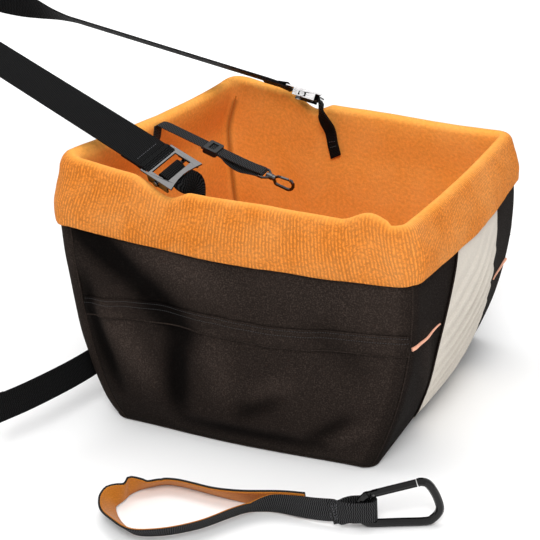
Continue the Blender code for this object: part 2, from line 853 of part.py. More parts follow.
def buckle_frame(side):
    """X towards the headrest, Z the buckle's upper face, above and inside the rim."""
    place = buckle_place(side)
    rim = rim_height(place)
    origin = wall_point(place, rim, -BUCKLE_INSET)
    origin.z = rim + BUCKLE_RISE
    along = strap_direction(side)
    width = strap_width(side, BUCKLE_TWIST)
    upper = width.cross(along) * (1 if side == NEAR else -1)
    return frame(origin, along, upper.cross(along))


def strap_end(side):
    """The strap's end at a buckle, from its free end round the end bar to its upper run."""
    matrix = buckle_frame(side)
    across = matrix.to_3x3() @ Vector((0, -1 if side == NEAR else 1, 0))
    bar_u = (SLOT_END + BAR_END) / 2
    bar_n = -PLATE / 2
    radius = math.hypot((BAR_END - SLOT_END) / 2, PLATE / 2) + RUN_GAP + STRAP / 2
    close = STRAP / 2 + WEB_GAP / 2
    lap = [(STRAP_LAP, close), (STRAP_LAP * 0.7, close), (STRAP_LAP * 0.4, close),
           (STRAP_LAP * 0.15, (close + radius) / 2)]
    under = [Vector((bar_u + along, 0, bar_n - rise)) for along, rise in lap]
    centre = Vector((bar_u, 0, bar_n))
    turn = [point for point, _, _ in bend(centre, Vector((0, 0, -radius)),
                                          Vector((-radius, 0, 0)), UP)]
    over = [Vector((bar_u + along, 0, bar_n + rise)) for along, rise in reversed(lap)]
    points = [matrix @ point for point in under + turn + over]
    return [(point, across) for point in points]


def make_headrest_strap():
    """One strap from buckle to buckle, standing on edge where it turns behind the headrest."""
    near = strap_end(NEAR)
    far = list(reversed(strap_end(FAR)))
    run_steps = 16
    start = near[-1][0]
    finish = far[0][0]
    done = (start - buckle_frame(NEAR).translation).length
    near_run = []
    far_run = []
    for step in range(1, run_steps + 1):
        share = step / run_steps
        length = (STRAP_RUN - done) * share
        untwist = smooth(max(0, (share - TWIST_END_SHARE) / (1 - TWIST_END_SHARE)))
        twist = BUCKLE_TWIST * (1 - untwist)
        near_run.append((start + strap_direction(NEAR) * length, strap_width(NEAR, twist)))
        far_run.append((finish + strap_direction(FAR) * length, strap_width(FAR, twist)))
    corner = near_run[-1][0]
    shoulder = Vector((corner.x - TURN_DEPTH * 0.72, corner.y * 0.62, corner.z + TURN_RISE * 0.8))
    crest = Vector((corner.x - TURN_DEPTH, 0, corner.z + TURN_RISE))
    points = [near_run[-2][0], corner, shoulder, crest, mirrored(shoulder, FAR),
              far_run[-1][0], far_run[-2][0]]
    turn = spline(points, 6)[6:-6]
    middle = [(point, UP) for point in turn[1:-1]]
    whole = near + near_run + middle + list(reversed(far_run)) + far
    frames = ribbon_frames([point for point, _ in whole], [width for _, width in whole])
    ribbon("headrest_strap", frames, STRAP_WIDTH, STRAP, WEBBING)


def wall_slant(wall_side, place, height):
    """The direction on the wall that the sewn webbing's width takes: forward and leaning up."""
    step = ANCHOR_WIDTH / 2
    here = wall_point(place, height, 0)
    other = wall_point(place + seam_share(wall_side, step), height, 0)
    forward = (other - here) * (1 if wall_side == 0 else -1)
    upward = here - wall_point(place, height - step, 0)
    return (forward.normalized() + upward.normalized() * ANCHOR_LEAN).normalized()


def anchor_route(side):
    """The doubled webbing's middle from the buckle, over the rim and down inside the wall."""
    matrix = buckle_frame(side)
    across = strap_width(side, BUCKLE_TWIST)
    wall_side = 0 if side == NEAR else 2
    inside = LINER_FACE - 3 * WEB_GAP - ANCHOR - WEB_GAP / 2
    stations = []
    for along, lift in ((WINDOW_START, 0), ((WINDOW_START + LIP_END) / 2, 0),
                        (LIP_END - 2 * PLATE, ANCHOR_LIFT)):
        stations.append((matrix @ Vector((along, 0, lift - LOCK_BAR_DEPTH)), across))
    start_x = matrix.translation.x
    for x_share, drop_share, stand_share, turn_share in ANCHOR_SHARES:
        place = place_at_x(wall_side, start_x + ANCHOR_REACH * x_share)
        height = rim_height(place) - ANCHOR_DROP * drop_share
        point = wall_point(place, height, inside - ANCHOR_STAND * stand_share)
        flat = wall_slant(wall_side, place, height)
        stations.append((point, across.lerp(flat, turn_share).normalized()))
    return stations


def make_anchor(prefix, side):
    """The short webbing that holds the buckle: both layers sewn inside the wall."""
    matrix = buckle_frame(side)
    stations = anchor_route(side)
    points = spline([point for point, _ in stations], 5)
    widths = spline([width for _, width in stations], 5)
    frames = ribbon_frames(points, widths)
    upper = matrix.to_3x3() @ UP
    facing = 1 if frames[0][2].dot(upper) > 0 else -1
    half = facing * (ANCHOR / 2 + WEB_GAP / 2)
    radius = LOCK_BAR_RADIUS + RUN_GAP + FIT / 2 + ANCHOR / 2
    across = frames[0][1]
    turn = []
    for step in range(TURN_STEPS + 1):
        angle = math.pi * step / TURN_STEPS
        u = LOCK_BAR_PLACE + LOCK_BAR_TRAVEL + radius * math.sin(angle)
        turn.append((matrix @ Vector((u, 0, -LOCK_BAR_DEPTH + radius * math.cos(angle))), across))
    first = matrix @ Vector((LOCK_BAR_PLACE - LOCK_BAR_TRAVEL, 0, -LOCK_BAR_DEPTH + radius))
    last = matrix @ Vector((LOCK_BAR_PLACE - LOCK_BAR_TRAVEL, 0, -LOCK_BAR_DEPTH - radius))
    top = [(point, width) for point, width, _ in reversed(shifted(frames, half))]
    bottom = [(point, width) for point, width, _ in shifted(frames, -half)]
    whole = top + [(first, across)] + turn + [(last, across)] + bottom
    frames = ribbon_frames([point for point, _ in whole], [width for _, width in whole])
    ribbon(f"{prefix}_anchor_webbing", frames, ANCHOR_WIDTH, ANCHOR, WEBBING)


def make_buckle(prefix, side):
    """The pressed adjuster: a plate with a window, an end bar and flanges, and its lock bar."""
    half = PLATE_WIDTH / 2
    lip = []
    for step in range(7):
        share = step / 6
        lip.append((LIP_END + LIP_HOLLOW * math.sin(math.pi * share), half - 2 * half * share))
    outline = [(BAR_END, half), *lip, (BAR_END, -half)]
    plate = prism(f"{prefix}_buckle_frame", outline, -PLATE, 0, STEEL)
    window = WINDOW_WIDTH / 2
    slot = SLOT_WIDTH / 2
    for way in (-1, 1):
        inner, outer = sorted((way * (half - PLATE), way * half))
        flange = block(f"{prefix}_flange", (-FLANGE_HALF, inner, -FLANGE_DEPTH),
                       (FLANGE_HALF, outer, -PLATE / 2), STEEL)
        join(plate, flange)
        put(buckle_frame(side), flange)
    cutters = [block(f"{prefix}_window", (WINDOW_START, -window, -PLATE - OVERRUN),
                     (WINDOW_END, window, OVERRUN), STEEL),
               block(f"{prefix}_slot", (SLOT_START, -slot, -PLATE - OVERRUN),
                     (SLOT_END, slot, OVERRUN), STEEL)]
    reach = LOCK_BAR_TRAVEL + LOCK_BAR_RADIUS + RUN_GAP
    rise = LOCK_BAR_RADIUS + RUN_GAP
    cutters.append(block(f"{prefix}_bar_slot",
                         (LOCK_BAR_PLACE - reach, -half - OVERRUN, -LOCK_BAR_DEPTH - rise),
                         (LOCK_BAR_PLACE + reach, half + OVERRUN, -LOCK_BAR_DEPTH + rise), STEEL))
    cut(plate, *cutters)
    end = half + RUN_GAP + LOCK_HEAD
    profile = [(0, LOCK_HEAD_RADIUS), (LOCK_HEAD, LOCK_HEAD_RADIUS), (LOCK_HEAD, LOCK_BAR_RADIUS),
               (2 * end - LOCK_HEAD, LOCK_BAR_RADIUS), (2 * end - LOCK_HEAD, LOCK_HEAD_RADIUS),
               (2 * end, LOCK_HEAD_RADIUS)]
    bar = turned(f"{prefix}_lock_bar", profile, Vector((0, -end, 0)), Vector((0, 1, 0)), STEEL)
    put(Matrix.Translation((LOCK_BAR_PLACE, 0, -LOCK_BAR_DEPTH)), bar)
    put(buckle_frame(side), plate, bar, *cutters)


def lower_lean():
    """The slope of the back wall where the seat-back strap runs."""
    half = LOWER_WIDTH / 2
    middle = side_place(3, 0.5)
    rise = wall_point(middle, LOWER_HEIGHT + half, 0) - wall_point(middle, LOWER_HEIGHT - half, 0)
    return rise.normalized()


def make_lower_strap():
    """The seat-back strap: flat across the back wall, then out past both back corners."""
    out = LAYER_GAP + STRAP / 2
    corner = wall_point(side_place(3, 0), LOWER_HEIGHT, out)
    route = []
    for y_share, kick_share in ((1, 1), (0.75, 0.62), (0.5, 0.34), (0.27, 0.14), (0.1, 0.04)):
        route.append(Vector((corner.x - LOWER_KICK * kick_share,
                             corner.y + LOWER_REACH * y_share, LOWER_HEIGHT)))
    steps = places(side_place(3, 0), side_place(3, 1))
    flat = [wall_point(place, LOWER_HEIGHT, out) for place in steps]
    outer = spline(route + flat[:1], 2)[:-1]
    points = outer + flat + [mirrored(point, FAR) for point in reversed(outer)]
    lean = lower_lean()
    frames = ribbon_frames(points, [lean] * len(points))
    fold = STRAP + WEB_GAP
    near = fold_back(frames, fold)
    whole = near + frames + list(reversed(fold_back(list(reversed(frames)), fold)))
    frames = ribbon_frames([point for point, _, _ in whole], [lean] * len(whole))
    ribbon("lower_strap", frames, LOWER_WIDTH, STRAP, WEBBING)


def fold_back(frames, fold):
    """The hem at a strap's end: a short layer folded back behind it, away from the tub."""
    first, second = frames[0][0], frames[1][0]
    along = (second - first).normalized()
    away = frames[0][1].cross(along)
    away = away if away.x < 0 else -away
    aside = away.normalized() * fold
    bulge = along * (-fold / 2)
    layer = [first + aside + along * LOWER_HEM * share for share in (1, 0.5, 0)]
    turn = [first + aside * 0.85 + bulge * 0.7, first + aside / 2 + bulge,
            first + aside * 0.15 + bulge * 0.7]
    return [(point, UP, away) for point in layer + turn]


def make_tabs():
    """Two cloth tabs that hold the seat-back strap against the back wall."""
    flat = LAYER_GAP + FIT / 2 + PATCH / 2
    over = LAYER_GAP + STRAP + 2 * LAYER_GAP + PATCH / 2
    half = LOWER_WIDTH / 2
    step = over - flat
    edge = half + TAB_EASE
    profile = [(edge + TAB_END + step, flat), (edge + step, flat), (edge, over),
               (-edge, over), (-edge - step, flat), (-edge - TAB_END - step, flat)]
    length = (wall_point(side_place(3, 1), LOWER_HEIGHT, 0)
              - wall_point(side_place(3, 0), LOWER_HEIGHT, 0)).length
    reach = TAB_WIDTH / 2 / length
    for prefix, middle in (("far", BACK_SHARES[1]), ("near", BACK_SHARES[-2])):
        def place(column, row, middle=middle):
            rise, out = profile[row]
            return wall_point(side_place(3, middle + reach * (column - 1)), LOWER_HEIGHT + rise,
                              out)

        sheet(f"{prefix}_strap_tab", 2, len(profile) - 1, place, PATCH, BLACK_CLOTH)


# Tether inside


def tether_frame():
    """Origin where the straight run starts, X along it towards the hook, Y across the webbing."""
    place = side_place(3, 0.5 - TETHER_Y / (2 * RIM_BACK_HALF))
    wall = wall_point(place, rim_height(place) - TETHER_TOP_DROP, LINER_FACE)
    along = Vector((1, TETHER_SIDE_SLOPE, -TETHER_FALL_SLOPE))
    origin = wall + Vector((TETHER_START / 2, 0, TETHER_LIFT))
    return frame(origin, along, Vector((0, 1, 0.1)))


def tether_lap():
    """The end sewn flat on the liner of the back wall and its bend towards the straight run."""
    place = side_place(3, 0.5 - TETHER_Y / (2 * RIM_BACK_HALF))
    top = rim_height(place) - TETHER_TOP_DROP
    out = LINER_FACE - 2 * WEB_GAP - TETHER / 2
    points = [wall_point(place, top - TETHER_LAP * share, out) for share in (1, 0.66, 0.33, 0)]
    rise = TETHER_LIFT + TETHER
    points.append(points[-1] + Vector((TETHER_REST * 0.3, 0, rise * 0.75)))
    points.append(points[-2] + Vector((TETHER_REST * 1.1, 0, rise)))
    return points


def make_tether():
    """The tether webbing: sewn to the wall, out to the eye and back into the slider."""
    matrix = tether_frame()
    across = matrix.to_3x3() @ Vector((0, 1, 0))
    close = TETHER / 2 + WEB_GAP / 2
    radius = EYE_BAR + RUN_GAP + FIT / 2 + TETHER / 2
    run = TETHER_LENGTH
    upper = [(TETHER_REST, close), (run * 0.2, close), (run * 0.4, close), (run * 0.6, close),
             (run * 0.8, close), (run * 0.94, radius * 0.8), (run, radius)]
    clear = SLIDER_LENGTH / 2 + TETHER_WIDTH / 5
    after = SLIDER_PLACE + clear
    lower = [(run, -radius), (run * 0.97, -radius * 0.95)]
    for share in (0.8, 0.6, 0.4, 0.2, 0):
        sag = TETHER_SAG * math.sin(math.pi * share)
        lower.append((after + (run * 0.97 - after) * share, -close - sag))
    lower.append((SLIDER_PLACE - clear, -close))
    points = tether_lap()
    widths = [Vector((0, 1, 0))] * len(points)
    points += [matrix @ Vector((along, 0, rise)) for along, rise in upper]
    turn = [centre for centre, _, _ in bend(Vector((run, 0, 0)), Vector((0, 0, radius)),
                                            Vector((radius, 0, 0)), across)]
    points += [matrix @ point for point in turn[1:-1]]
    points += [matrix @ Vector((along, 0, rise)) for along, rise in lower]
    widths += [across] * (len(points) - len(widths))
    ribbon("tether_webbing", ribbon_frames(points, widths), TETHER_WIDTH, TETHER, WEBBING)
    make_slider(matrix)
    make_snap_hook(matrix @ Matrix.Translation((run, 0, 0)))


def make_slider(matrix):
    """A keeper round both layers of the tether."""
    opening = 2 * TETHER + WEB_GAP + 2 * RUN_GAP
    half = opening / 2 + SLIDER_WALL
    corner = SLIDER_WALL
    wide = SLIDER_WIDTH / 2
    outline = [(-SLIDER_LENGTH / 2, -wide + corner), (-SLIDER_LENGTH / 2 + corner, -wide),
               (SLIDER_LENGTH / 2 - corner, -wide), (SLIDER_LENGTH / 2, -wide + corner),
               (SLIDER_LENGTH / 2, wide - corner), (SLIDER_LENGTH / 2 - corner, wide),
               (-SLIDER_LENGTH / 2 + corner, wide), (-SLIDER_LENGTH / 2, wide - corner)]
    slider = prism("tether_slider", outline, -half, half, BLACK_PLASTIC)
    gap = TETHER_WIDTH / 2 + RUN_GAP
    passage = block("slider_passage", (-SLIDER_LENGTH, -gap, -opening / 2),
                    (SLIDER_LENGTH, gap, opening / 2), BLACK_PLASTIC)
    window = block("slider_window", (-SLIDER_LENGTH * 0.22, -gap * 0.8, 0),
                   (SLIDER_LENGTH * 0.22, gap * 0.8, half + OVERRUN), BLACK_PLASTIC)
    cut(slider, passage, window)
    put(matrix @ Matrix.Translation((SLIDER_PLACE, 0, 0)), slider, passage, window)


def gate_parts(prefix, matrix, pivot, tip, radius, lug, pin_radius, finish):
    """A gate rod slotted over a lug at its pivot, and its pin along the frame's Y."""
    side = Vector((0, 1, 0))
    along = (tip - pivot).normalized()
    inward = side.cross(along)
    root = -radius
    profile = [(root, radius * 0.5), (root + radius * 0.4, radius * 0.85), (0, radius),
               ((tip - pivot).length, radius)]
    gate = turned(f"{prefix}_gate", profile, pivot, along, finish)
    slot_half = lug / 2 + RUN_GAP
    slot_reach = radius + 3 * RUN_GAP
    slot = block(f"{prefix}_gate_slot", (-slot_reach - OVERRUN, -slot_half, -radius - OVERRUN),
                 (slot_reach, slot_half, radius + OVERRUN), finish)
    put(frame(pivot, along, side), slot)
    hole = rod(f"{prefix}_gate_hole", pivot - side * (radius + OVERRUN),
               pivot + side * (radius + OVERRUN), pin_radius + RUN_GAP, finish)
    cut(gate, slot, hole)
    length = math.sqrt(radius ** 2 - (pin_radius + RUN_GAP) ** 2)
    pin = rod(f"{prefix}_gate_pin", pivot - side * length, pivot + side * length, pin_radius,
              STEEL)
    put(matrix, gate, slot, hole, pin)
    return gate, along, inward


def lug_plate(prefix, matrix, body, body_end, pivot, radius, lug, pin_radius, finish):
    """The lug that reaches from the body's end to the gate's pivot, with its pin hole."""
    side = Vector((0, 1, 0))
    reach = (pivot - body_end).length
    along = (pivot - body_end) / reach
    tall = radius * 0.75
    plate = block(f"{prefix}_lug", (-radius, -lug / 2, -tall), (reach, lug / 2, tall), finish)
    put(frame(body_end, along, side), plate)
    nose = rod(f"{prefix}_lug_nose", pivot - side * lug / 2, pivot + side * lug / 2, tall, finish)
    hole = rod(f"{prefix}_lug_hole", pivot - side * (radius + OVERRUN),
               pivot + side * (radius + OVERRUN), pin_radius + RUN_GAP, finish)
    join(body, plate, nose)
    cut(body, hole)
    put(matrix, plate, nose, hole)


def make_snap_hook(matrix):
    """A swivel eye, and a hook that turns in its collar and is closed by a sprung gate."""
    half = TETHER_WIDTH / 2 + RUN_GAP + EYE_BAR
    ring = [Vector((0, -half, 0)), Vector((0, half, 0)),
            Vector((EYE_LENGTH * 0.5, half, 0)), Vector((COLLAR_START + EYE_BAR, half * 0.45, 0)),
            Vector((COLLAR_START + EYE_BAR, -half * 0.45, 0)), Vector((EYE_LENGTH * 0.5, -half, 0))]
    eye = as_mesh(tube("clip_eye", ring, EYE_BAR, STEEL, cyclic=True))
    start = Vector((COLLAR_START, 0, 0))
    axis = Vector((1, 0, 0))
    collar = turned("clip_collar", [(0, COLLAR_RADIUS), (COLLAR_END - COLLAR_START,
                                                         COLLAR_RADIUS)], start, axis, STEEL)
    bore = turned("clip_bore", [(-OVERRUN, SHANK_RADIUS + RUN_GAP),
                                (COLLAR_END - COLLAR_START + OVERRUN, SHANK_RADIUS + RUN_GAP)],
                  start, axis, STEEL)
    join(eye, collar)
    cut(eye, bore)
    head = COLLAR_START - RUN_GAP - HEAD_THICKNESS
    shoulder = COLLAR_END + RUN_GAP
    profile = [(0, HEAD_RADIUS), (HEAD_THICKNESS, HEAD_RADIUS), (HEAD_THICKNESS, SHANK_RADIUS),
               (shoulder - head, SHANK_RADIUS), (shoulder - head, SHOULDER_RADIUS),
               (shoulder - head + SHOULDER_LENGTH, SHOULDER_RADIUS)]
    shank = turned("clip_hook", profile, Vector((head, 0, 0)), axis, STEEL)
    neck = shoulder + SHOULDER_LENGTH - HOOK_RADIUS
    straight = neck + HOOK_LENGTH
    path = [Vector((neck, 0, 0)), Vector((neck + HOOK_RADIUS, 0, -HOOK_BEND * 0.45)),
            Vector((neck + 2 * HOOK_RADIUS, 0, -HOOK_BEND * 0.9)),
            Vector((neck + 3 * HOOK_RADIUS, 0, -HOOK_BEND))]
    for step in range(9):
        angle = math.pi * step / 8
        path.append(Vector((straight + HOOK_BEND * math.sin(angle), 0,
                            -HOOK_BEND * math.cos(angle))))
    hook = as_mesh(tube("clip_hook_bend", path, HOOK_RADIUS, STEEL))
    join(shank, hook)
    pivot = Vector((neck + HOOK_RADIUS * 2.9, 0, HOOK_BEND * 0.74))
    tip = Vector((straight - GATE_NOSE_GAP, 0, HOOK_BEND))
    put(matrix, eye, collar, bore, shank, hook)
    lug_plate("clip", matrix, shank, Vector((neck + HOOK_RADIUS * 0.4, 0, HOOK_RADIUS * 0.6)),
              pivot, HOOK_RADIUS, HOOK_LUG, HOOK_PIN, STEEL)
    gate_parts("clip", matrix, pivot, tip, HOOK_RADIUS - FIT, HOOK_LUG, HOOK_PIN, STEEL)


# Belt tether, lying on the floor in front of the near wall

BELT_ROUTE_SHARES = (
    (-0.124, -0.052, 0.02), (-0.204, -0.062, 0.014), (-0.284, -0.06, 0.008),
    (-0.372, -0.06, 0.0032), (-0.444, -0.08, 0), (-0.484, -0.108, 0), (-0.528, -0.168, 0),
    (-0.588, -0.256, 0), (-0.664, -0.328, 0), (-0.736, -0.372, 0), (-0.796, -0.388, 0),
    (-0.852, -0.372, 0), (-0.92, -0.328, 0), (-0.972, -0.268, 0), (-0.972, -0.212, 0),
    (-0.970, -0.164, 0), (-0.952, -0.118, 0), (-0.916, -0.080, 0), (-0.876, -0.048, 0),
    (-0.804, -0.036, 0), (-0.724, -0.036, 0), (-0.624, -0.04, 0), (-0.512, -0.04, 0),
    (-0.412, -0.038, 0.0016), (-0.324, -0.0376, 0.006), (-0.244, -0.038, 0.0112))
BELT_LEANS = (
    (0.03, -0.03, 1.0), (0.06, -0.06, 1.0), (0.12, -0.16, 1.0), (0.20, -0.32, 1.0),
    (0.35, -0.52, 0.85), (0.38, -0.56, 0.8), (0.38, -0.56, 0.8), (0.40, -0.52, 0.76),
    (0.42, -0.52, 0.74), (0.44, -0.54, 0.72), (0.44, -0.60, 0.66), (0.32, -0.72, 0.62),
    (0.20, -0.80, 0.55), (0.12, -0.76, 0.64), (0.12, -0.76, 0.64), (0.16, -0.74, 0.66),
    (0.30, -0.68, 0.68), (0.36, -0.64, 0.70), (0.44, -0.60, 0.66), (0.42, -0.60, 0.68),
    (0.42, -0.60, 0.68), (0.40, -0.58, 0.70), (0.32, -0.48, 0.80), (0.20, -0.32, 0.92),
    (0.10, -0.16, 1.0), (0.05, -0.06, 1.0))


def carabiner_frame():
    """Origin under the start of the long bar, X along it, Z up, Y towards the tub."""
    along = Vector((math.cos(CARABINER_YAW), math.sin(CARABINER_YAW), 0))
    return frame(Vector((CARABINER_X, CARABINER_Y, FIT)), along, UP.cross(along))


def make_belt_tether():
    """Webbing from the sewn join round the handle loop, then round the carabiner and back."""
    matrix = carabiner_frame()
    start = Vector((CARABINER_X, CARABINER_Y, 0))
    points = spline([start + BELT_SPAN * Vector(share) for share in BELT_ROUTE_SHARES], 3)
    widths = spline([Vector(lean) for lean in BELT_LEANS], 3)
    widths = [width.normalized() for width in widths]
    lift = FIT + BELT * 0.5
    edge = ribbon_frames(points, widths)
    handle = [(point + width * BELT_WIDTH / 2 + UP * lift, width) for point, width, _ in edge]
    handle.reverse()
    radius = ROD + LOOP_PLAY + BELT / 2
    centre_z = 2 * ROD + RUN_GAP * 2 + BELT_WIDTH * LOOP_WIDTH_SHARE / 2
    tail = -NARROW_END - LOOP_REACH
    loop = [Vector((tail, -BELT, centre_z - ROD * 0.6)),
            Vector((tail * 0.78, -radius * 0.8, centre_z)),
            Vector((tail * 0.6, -radius, centre_z)), Vector((tail * 0.3, -radius, centre_z))]
    centre = Vector((-BELT, 0, centre_z))
    turn = bend(centre, Vector((0, -radius, 0)), Vector((radius, 0, 0)), UP)
    loop += [point for point, _, _ in turn]
    loop += [Vector((tail * 0.3, radius, centre_z)), Vector((tail * 0.6, radius, centre_z)),
             Vector((tail * 0.78, radius * 0.8, centre_z))]
    end = [Vector((tail, BELT, centre_z - ROD * 0.6)),
           Vector((tail * 1.3, BELT * 0.9, centre_z - ROD))]
    whole = handle + [(matrix @ point, UP) for point in loop + end]
    count = len(handle)
    shares = [1] * count + [LOOP_WIDTH_SHARE] * (len(whole) - count)
    shares[count] = 1
    shares[-1] = shares[-2] = 1
    frames = ribbon_frames([point for point, _ in whole], [width for _, width in whole])
    ribbon("belt_tether_webbing", frames, BELT_WIDTH, BELT, WEBBING, shares)
    make_lining(frames[:count - 6])


def make_lining(frames):
    """The orange lining inside the handle loop."""
    middle = sum((point for point, _, _ in frames), Vector()) / len(frames)
    turn, _, normal = frames[len(frames) // 2]
    facing = 1 if (middle - turn).dot(normal) > 0 else -1
    lined = shifted(frames, facing * (BELT / 2 + WEB_GAP + LINING / 2))
    ribbon("belt_tether_lining", lined, BELT_WIDTH - 2 * LINING_INSET, LINING, ORANGE_CLOTH)


def carabiner_path():
    """The body's middle line from the gate's hinge round to its nose."""
    narrow = [(0.2, 1.0), (0.55, 0.90), (0.88, 0.70), (1.0, 0.48),
              (0.80, 0.27), (0.42, 0.155)]
    path = [Vector((-NARROW_END * across, 0, NARROW_HEIGHT * up)) for across, up in narrow]
    path.append(Vector((0, 0, ROD)))
    path.append(Vector((LONG_BAR / 2, 0, ROD)))
    path.append(Vector((LONG_BAR, 0, ROD)))
    wide = [(0.54, 0.15), (0.92, 0.28), (1.0, 0.43), (0.77, 0.66), (0.42, 0.86), (0.08, 0.97),
            (-0.32, 1.0), (-0.55, 0.985)]
    path += [Vector((LONG_BAR + WIDE_END * across, 0, WIDE_HEIGHT * up)) for across, up in wide]
    return path


def make_carabiner():
    """The carabiner: a bent rod closed by a sprung gate that opens inward."""
    matrix = carabiner_frame()
    path = carabiner_path()
    smooth_path = spline(path, 3)
    body = as_mesh(tube("carabiner_body", smooth_path, ROD, BLACK_METAL))
    put(matrix, body)
    nose = path[-1]
    hinge = path[0]
    direction = (nose - hinge).normalized()
    pivot = hinge + direction * (ROD + 3 * RUN_GAP)
    tip = nose - direction * GATE_NOSE_GAP
    lug_plate("carabiner", matrix, body, hinge, pivot, ROD, CARABINER_LUG, CARABINER_PIN,
              BLACK_METAL)
    gate, along, _ = gate_parts("carabiner", matrix, pivot, tip, ROD - FIT, CARABINER_LUG,
                                CARABINER_PIN, BLACK_METAL)
    spring_start = pivot + along * (ROD + 3 * RUN_GAP)
    bore = rod("carabiner_spring_bore", spring_start - along * OVERRUN / 2,
               spring_start + along * (SPRING_LENGTH + 2 * RUN_GAP), SPRING_RADIUS + RUN_GAP,
               BLACK_METAL)
    cut(gate, bore)
    spring = rod("carabiner_gate_spring", spring_start + along * RUN_GAP,
                 spring_start + along * (SPRING_LENGTH + RUN_GAP), SPRING_RADIUS, STEEL)
    put(matrix, bore, spring)


def main():
    for old in list(bpy.data.objects):
        bpy.data.objects.remove(old)
    make_walls()
    make_liners()
    make_base()
    make_floor_pad()
    make_pockets()
    make_front_panel()
    make_piping()
    make_headrest_strap()
    for prefix, side in (("near", NEAR), ("far", FAR)):
        make_buckle(prefix, side)
        make_anchor(prefix, side)
    make_lower_strap()
    make_tabs()
    make_tether()
    make_belt_tether()
    make_carabiner()


main()
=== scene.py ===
"""Looks of the dog car seat: its cloth, webbing, stitching and metal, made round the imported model,
with a plain studio and a camera. Units are metres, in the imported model's own frame."""

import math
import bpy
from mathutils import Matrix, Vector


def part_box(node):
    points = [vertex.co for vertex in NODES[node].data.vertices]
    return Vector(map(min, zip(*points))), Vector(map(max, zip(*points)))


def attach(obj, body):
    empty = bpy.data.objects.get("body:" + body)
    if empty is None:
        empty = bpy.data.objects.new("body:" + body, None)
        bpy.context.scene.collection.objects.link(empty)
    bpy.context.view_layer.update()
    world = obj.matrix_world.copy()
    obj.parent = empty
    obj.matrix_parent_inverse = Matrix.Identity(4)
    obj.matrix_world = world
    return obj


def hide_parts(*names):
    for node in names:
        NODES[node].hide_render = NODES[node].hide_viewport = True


bl_info = {
    "name": "Dog Car Seat Looks",
    "version": (1, 0, 0),
    "blender": (4, 5, 0),
    "location": "View3D > Sidebar > Car Seat",
    "description": "Makes the cloth, webbing, stitching and materials of a dog car seat",
    "category": "Add Mesh",
}

import bmesh
import bpy
from bpy.props import FloatProperty, FloatVectorProperty, IntProperty, PointerProperty
from mathutils import Matrix, Vector, noise

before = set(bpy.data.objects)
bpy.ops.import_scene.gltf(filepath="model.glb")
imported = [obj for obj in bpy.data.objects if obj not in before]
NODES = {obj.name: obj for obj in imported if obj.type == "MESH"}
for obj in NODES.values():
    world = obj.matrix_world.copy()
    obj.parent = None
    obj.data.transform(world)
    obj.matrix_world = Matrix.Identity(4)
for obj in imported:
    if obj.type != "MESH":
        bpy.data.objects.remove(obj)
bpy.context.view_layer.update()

# Plan of the tub at the base, the belly and the rim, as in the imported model
BACK_X = (-0.166, -0.202, -0.178)
FRONT_X = (0.144, 0.194, 0.182)
BACK_HALF = (0.167, 0.186, 0.177)
FRONT_HALF = (0.162, 0.166, 0.160)
BELLY_SHARE = 0.75
STRAIGHT_SHARE = 0.12
BACK_BELLY_POWER = 0.6
FRONT_BELLY_POWER = 0.85
CORNER_RADII = (0.022, 0.014, 0.014, 0.022)
SIDE_BULGES = (0.004, 0.009, 0.004, 0.003)
BASE_BULGE = 0.005

# Rim
CORNER_HEIGHTS = (0.305, 0.266, 0.266, 0.305)
SIDE_SAG = 0.007
END_SAG = 0.004
RIM_FOLD = 0.010
FOLD_SHARE = 0.94
FOLD_REACH_SHARE = 0.09
BUCKLE_DIP = 0.015
DIP_SHARE = 0.285
DIP_REACH_SHARE = 0.12
DIP_TAIL = 0.0055
TAIL_REACH_SHARE = 0.36

# Layers
SHELL = 0.0014
BOARD = 0.0022
BASE_BOARD = 0.0030
LINER = 0.0018
LAYER_GAP = 0.0008
PATCH = 0.0014
PATCH_MIDDLE = LAYER_GAP + PATCH / 2
FOLD_LIMIT = -0.0004
FOLD_FOOT = 0.010
FOLD_FOOT_FADE = 0.03
FOLD_TOP_GAP = 0.003
FOLD_FADE = 0.02
BACK_FOLD_FOOT = 0.095
SHELL_MIDDLE = -SHELL / 2
LINER_MIDDLE = -SHELL - LAYER_GAP - BOARD - LAYER_GAP - LINER / 2
LINER_FACE = LINER_MIDDLE - LINER / 2
SHELL_FOOT = 0.0016
SHELL_UNDER_ROLL = 0.002
SHELL_WAVINESS = 0.0006
SHELL_LEAN = 0.0006
PAD_Z = SHELL + LAYER_GAP + BASE_BOARD + LAYER_GAP + LINER + LAYER_GAP
PAD_SHARE = 0.02

# Cushion: the heights and shares of its edge's rings, the shares of the rings that close it, how
# far its edge stays off the liner, and how far its points move when it is blown up: in all, the
# share of it that goes sideways, and the height of the lowest point over the cushion's foot
PAD_RINGS = ((0.0012, 0.975), (0.0035, 1.0), (0.0065, 1.0), (0.0090, 0.975))
PAD_SHARES = (0.92, 0.8, 0.65, 0.5, 0.35, 0.2, 0.08)
PAD_CROWN = 0.0055
PAD_CORD = 0.0052
PAD_INSET = 0.0032
PAD_MOVE = 0.0035
PAD_SIDEWAYS = 0.4
PAD_LIFT = 0.0004
PAD_VOXEL = 0.0045
PAD_FRAMES = 14
PAD_PRESSURE = 3.0
PAD_STIFFNESS = 15

# Walls of the shell from place to place, and the places of the seams
WALLS = (("near", 1.003, 2.49), ("front", 2.51, 4.49), ("far", 4.51, 5.997), ("back", 6.0, 9.0))
WALL_SEAMS = (2.5, 4.5, 1.0, 6.0)
LINER_SEAMS = (0.5, 2.5, 4.5, 6.5)
BASE_CLOTH_OUT = -0.0012
BASE_INSETS = (0.004, 0.02)

